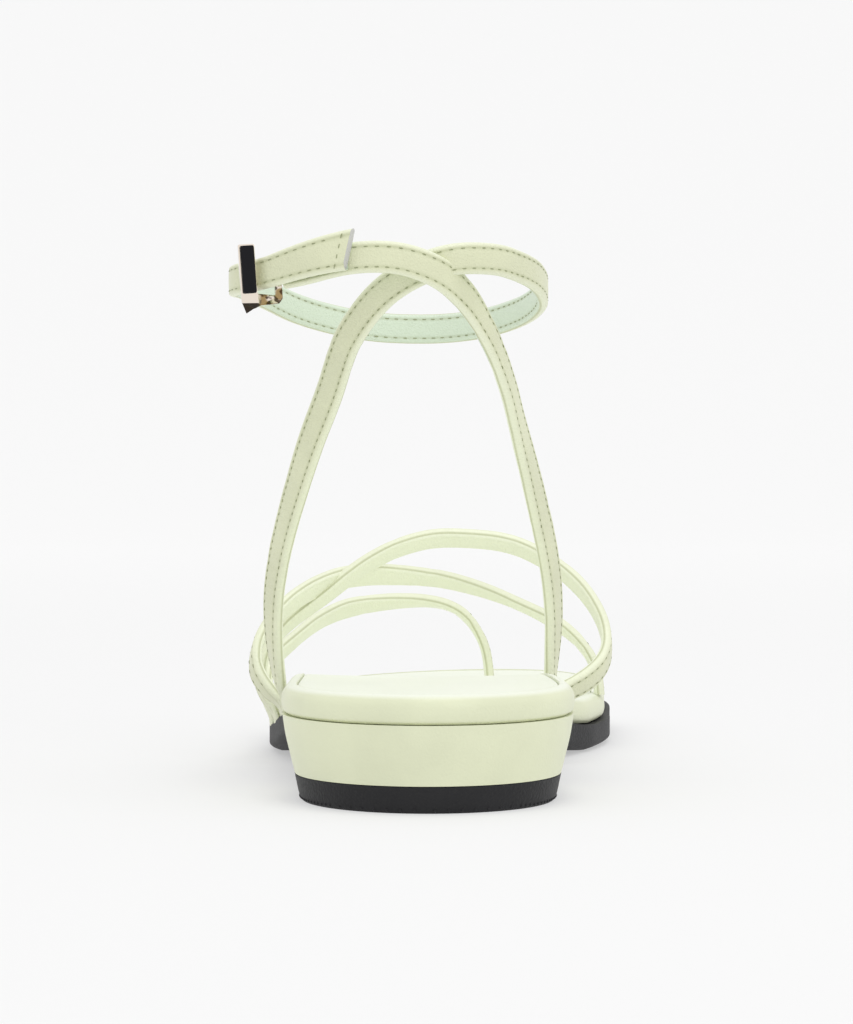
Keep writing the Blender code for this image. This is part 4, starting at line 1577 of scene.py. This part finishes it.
def long_strap_path():
    """Outer root, up behind the heel, round the ankle and back over the buckle strap."""
    start, start_normal = strap_root(ANKLE_ROOT, "outer")
    points, normals = turn_points(LONG_STRAP)
    under, under_normals = turn_points(BUCKLE_STRAP[:TIP_ROW - 1:-1])
    layer = STRAP_THICKNESS + SEAM
    for i, (point, normal) in enumerate(zip(under, under_normals)):
        rise = TIP_RISE if i else TIP_RISE / 2
        points.append(point + normal * layer + Vector((0.0, 0.0, rise)))
        normals.append(normal)
    return smooth_path(start + points, [start_normal] * 2 + normals)


def short_strap_path():
    """Inner root, up behind the heel over the long strap and on to the buckle."""
    start, start_normal = strap_root(ANKLE_ROOT, "inner")
    points, normals = turn_points(SHORT_STRAP + BUCKLE_STRAP)
    return smooth_path(start + points, [start_normal] * 2 + normals)


print("places on the long path before it is evened out:", len(long_strap_path()))

# %% [markdown]
# Behind the heel the straps lie on each other. The solid model joins them there; here one
# is moved in and the other out, so that an edge shows. A collision could find the layers,
# but one crossing is easily found as the place where the paths come closest.

# %% Crossing of the ankle straps
CROSS_SHIFT = 0.0011
CROSS_REACH = 0.011
CROSSING_FROM = 0.08
CROSSING_SPAN = 0.0495


def layered(path, other, shift):
    """The path, moved in or out where it crosses the other one behind the heel."""
    rising = [centre for centre, _, _ in path if centre.z > CROSSING_FROM]
    rising = rising[: round(CROSSING_SPAN / STRAP_STEP)]
    others = [centre for centre, _, _ in other[: len(other) // 2]]
    crossing = min(rising, key=lambda spot: min((spot - centre).length for centre in others))
    moved = []
    for centre, tangent, normal in path:
        off = (centre - crossing).length / CROSS_REACH
        moved.append((centre + normal * shift * math.exp(-off * off), tangent, normal))
    return moved


long, short = even_out(long_strap_path(), rise=True), even_out(short_strap_path(), rise=True)
long, short = layered(long, short, -CROSS_SHIFT), layered(short, long, CROSS_SHIFT)
print("length of the long strap in mm:", round(1000 * STRAP_STEP * len(long)))

# %% [markdown]
# The free tip widens a little and is cut at a slant, so that the grey core shows at its
# end. The widths could be a curve's taper; a list with one width for each ring is shorter.

# %% Ankle straps
TIP_SLANT = -0.42

tip = round(TIP_LENGTH / STRAP_STEP)
widths = [STRAP_WIDTH] * len(long)
for i in range(tip):
    widths[-1 - i] += TIP_FLARE * (1 - i / tip)

ankle_straps = strap_piece(
    "ankle_straps_skin",
    [("long", long, (on_lip, None), widths, TIP_SLANT), ("short", short, (on_lip, None))],
)
print("points in the ankle straps:", len(ankle_straps.data.vertices))

# %% [markdown]
# The tip's stitch rows are joined by one row across the end, as a sewing machine turns at
# the corner. Both faces of the ankle straps are stitched through, so both show the rows.

# %% Ankle strap stitches
TIP_ROW_BACK = 0.0019
TIP_STOP = 0.0028
BUCKLE_STOP = 0.001


def add_end_row(bm, path, width):
    """Stitches across a strap's cut end."""
    centre, ahead, out = path[-1]
    across = ahead.cross(out)
    half = width / 2 - STITCH_INSET
    count = round(2 * half / STITCH_PITCH)
    for k in range(count + 1):
        w = half * (2 * k / count - 1)
        rise = rise_at(STRAP_WIDTH / 2, STRAP_WIDTH / 2)
        spot = centre - ahead * (TIP_ROW_BACK - TIP_SLANT * w) + across * w + out * rise
        add_stitch(bm, spot, (across + ahead * TIP_SLANT).normalized(), out)


bm = bmesh.new()
add_rows(bm, long, widths, LASTED, TIP_STOP)
add_rows(bm, short, None, LASTED, BUCKLE_STOP)
add_end_row(bm, long, widths[-1])
ankle_thread = finish("ankle_thread", bm, [thread.material])
print("points in the ankle stitches:", len(ankle_thread.data.vertices))

# %% [markdown]
# ## Hook buckle
#
# The frame is a small metal hook. It could be modelled again here, but the CAD already gives
# its bends, so it only needs its finish. The poured enamel covers nearly the whole front of
# its bar and draws in at the rim, so it is a thin plate with a rounded edge.

# %% Hook buckle
FRAME_THICKNESS = 0.0018
FRAME_LEAN = 4
BAR_SHARE = 0.26
BAR_TOP = 0.95
ENAMEL_RIM = 0.00028
ENAMEL_SHIFT = 0.00018
ENAMEL_HEIGHT = 0.0099
ENAMEL_PROUD = 0.00022
ENAMEL_ROUND = 0.00045
ENAMEL_EDGE = [Edge(0.0, -1.0), Edge(0.0, 0.6), Edge(0.3, 0.9), Edge(1.0, 1.0)]
CORNER_STEPS = 6

frame_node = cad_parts["buckle_frame"]
frame_node.data.materials.clear()
frame_node.data.materials.append(gold.material)


def make_enamel():
    out = facing(BUCKLE.face)
    lean = math.radians(FRAME_LEAN)
    flat_right = Vector((0.0, 0.0, 1.0)).cross(out)
    right = flat_right * math.cos(lean) + Vector((0.0, 0.0, math.sin(lean)))
    up = out.cross(right)
    centre = turn_point(BUCKLE) + right * ENAMEL_SHIFT
    wide = BAR_SHARE * STRAP_WIDTH - ENAMEL_RIM
    top = BAR_TOP * STRAP_WIDTH - ENAMEL_RIM
    middle = top - ENAMEL_HEIGHT / 2
    front = FRAME_THICKNESS / 2
    bm = bmesh.new()
    rings = []
    for edge in ENAMEL_EDGE:
        reach = ENAMEL_ROUND - edge.inset * ENAMEL_PROUD
        depth = front + edge.up * ENAMEL_PROUD
        ring = []
        for corner, (sx, sy) in enumerate(((1, 1), (-1, 1), (-1, -1), (1, -1))):
            for k in range(CORNER_STEPS + 1):
                turn = math.radians(90 * (corner + k / CORNER_STEPS))
                a = sx * (wide - ENAMEL_ROUND) + reach * math.cos(turn)
                b = sy * (ENAMEL_HEIGHT / 2 - ENAMEL_ROUND) + reach * math.sin(turn) + middle
                ring.append(bm.verts.new(centre + right * a + up * b + out * depth))
        rings.append(ring)
    for low, high in zip(rings, rings[1:]):
        bridge(bm, low, high)
    bm.faces.new(rings[0])
    bm.faces.new(rings[-1])
    return finish("enamel_plate", bm, [enamel.material])


enamel_plate = make_enamel()

# %% [markdown]
# ## Each piece on its place
#
# The finer skins stand for the CAD nodes, and the table also lists a slot name for each
# piece, which the loop doesn't read. The solids could stay inside the skins, but they would
# show through at the seams, so each skin replaces its node.

STANDS_FOR = [
    (outsole, "outsole", "sole_rubber"),
    (heel_lift, "heel_lift", "sole_rubber"),
    (heel_block, "heel_block", "strap_leather"),
    (footbed, "footbed", "strap_leather"),
    (insock, "insock", "insock_lining"),
    (instep_straps, "instep_straps", "strap_leather"),
    (toe_strap, "toe_strap", "strap_leather"),
    (ankle_straps, "ankle_straps", "strap_leather"),
    (enamel_plate, "buckle_inlay", "black_enamel"),
]
for piece, node, slot in STANDS_FOR:
    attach(piece, "root")
    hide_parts(node)
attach(lift_tread, "root")
for piece in (instep_thread, toe_thread, ankle_thread):
    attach(piece, "root")

# %% [markdown]
# ## Floor, light and camera
#
# A pale sheet that curves up behind the sandal, under a white room and two soft boxes. A
# plain white floor would show a darker shadow; this sheet is also lit from below, like a
# light table, which keeps the shadows as faint as in the photo.

# %% Floor
FLOOR = 0.46
GLOW = 0.494
NEAR_SHARE = 0.865
GLOW_FROM = 0.1
GLOW_TO = 1.7
FLOOR_NEAR = -3.0
FLOOR_HALF_WIDTH = 4.0
SWEEP_START = 1.6
SWEEP_ROUND = 0.9
SWEEP_STEPS = 24
SWEEP_TOP = 3.5
WHITE = (1.0, 1.0, 1.0)

paper = Surface("paper", Roughness=0.9, Specular_IOR_Level=0.1, Emission_Strength=GLOW)
paper.shader.inputs["Base Color"].default_value = shade(WHITE, FLOOR)
far = paper.part(paper.spot, "Y").step(GLOW_FROM, GLOW_TO)
paper.link("Emission Color", paper.blend(far, shade(WHITE, NEAR_SHARE), shade(WHITE)))
bm = bmesh.new()
profile = [(FLOOR_NEAR, 0.0), (0.0, 0.0)]
for k in range(SWEEP_STEPS + 1):
    turn = math.radians(90 * k / SWEEP_STEPS)
    profile.append((SWEEP_START + SWEEP_ROUND * math.sin(turn), SWEEP_ROUND * (1 - math.cos(turn))))
profile.append((SWEEP_START + SWEEP_ROUND, SWEEP_TOP))
sides = (-FLOOR_HALF_WIDTH, FLOOR_HALF_WIDTH)
edges = [[bm.verts.new((x, y, z)) for x in sides] for y, z in profile]
for low, high in zip(edges, edges[1:]):
    bm.faces.new((low[0], low[1], high[1], high[0]))
floor = finish("floor", bm, [paper.material], sharp=60)
floor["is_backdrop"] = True
print("floor points:", len(floor.data.vertices))

# %% [markdown]
# The white room gives most of the light. One soft box above models the tops, and one from
# the right behind the camera brightens the right side, where the photo is lighter. A sun
# lamp would draw hard edges, so both are broad area lights.

# %% Light
ROOM = 0.94

world = bpy.data.worlds.new("room")
world.use_nodes = True
world.node_tree.nodes["Background"].inputs["Color"].default_value = shade(WHITE)
world.node_tree.nodes["Background"].inputs["Strength"].default_value = ROOM
bpy.context.scene.world = world


def soft_box(name, spot, aim, size, power):
    """Square area light that looks at a point."""
    light = bpy.data.lights.new(name, "AREA")
    light.size = size
    light.energy = power
    made = bpy.data.objects.new(name, light)
    made.location = spot
    made.rotation_euler = (Vector(aim) - Vector(spot)).to_track_quat("-Z", "Y").to_euler()
    bpy.context.scene.collection.objects.link(made)


soft_box("overhead", (0.15, -0.15, 1.2), aim=(0.0, 0.08, 0.0), size=0.5, power=2.2)
soft_box("right_rear", (0.75, -1.3, 0.75), aim=(0.0, 0.0, 0.07), size=0.4, power=2.2)
bpy.context.scene.view_settings.view_transform = "Standard"
print("lights:", [o.name for o in bpy.data.objects if o.type == "LIGHT"])

# %% [markdown]
# The camera stands 0.75 m behind the heel and 79 mm above the floor and looks almost level
# towards the toe, as in the photo. How much larger the near heel looks than the far ball
# gave the distance; the lens then follows from the sandal's width in the picture.

# %% Camera
CAMERA_BACK = 0.780
CAMERA_HEIGHT = 0.0788
LENS = 130.39
PITCH = 1.342
PAN = 0.023

camera_data = bpy.data.cameras.new("camera")
camera_data.lens = LENS
camera_data.sensor_width = 36.0
camera_data.clip_start = 0.01
camera = bpy.data.objects.new("camera", camera_data)
camera.location = (0.0, -CAMERA_BACK, CAMERA_HEIGHT)
camera.rotation_euler = (math.radians(90 - PITCH), 0.0, math.radians(PAN))
bpy.context.scene.collection.objects.link(camera)
bpy.context.scene.camera = camera
print("camera in mm:", [round(1000 * v) for v in camera.location])

# %% [markdown]
# ## Sizes and the end
#
# The last line prints the size of the finished model.

# %% Print the sizes
low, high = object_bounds()
print("visual size in mm:", [round(1000 * v, 1) for v in high - low])
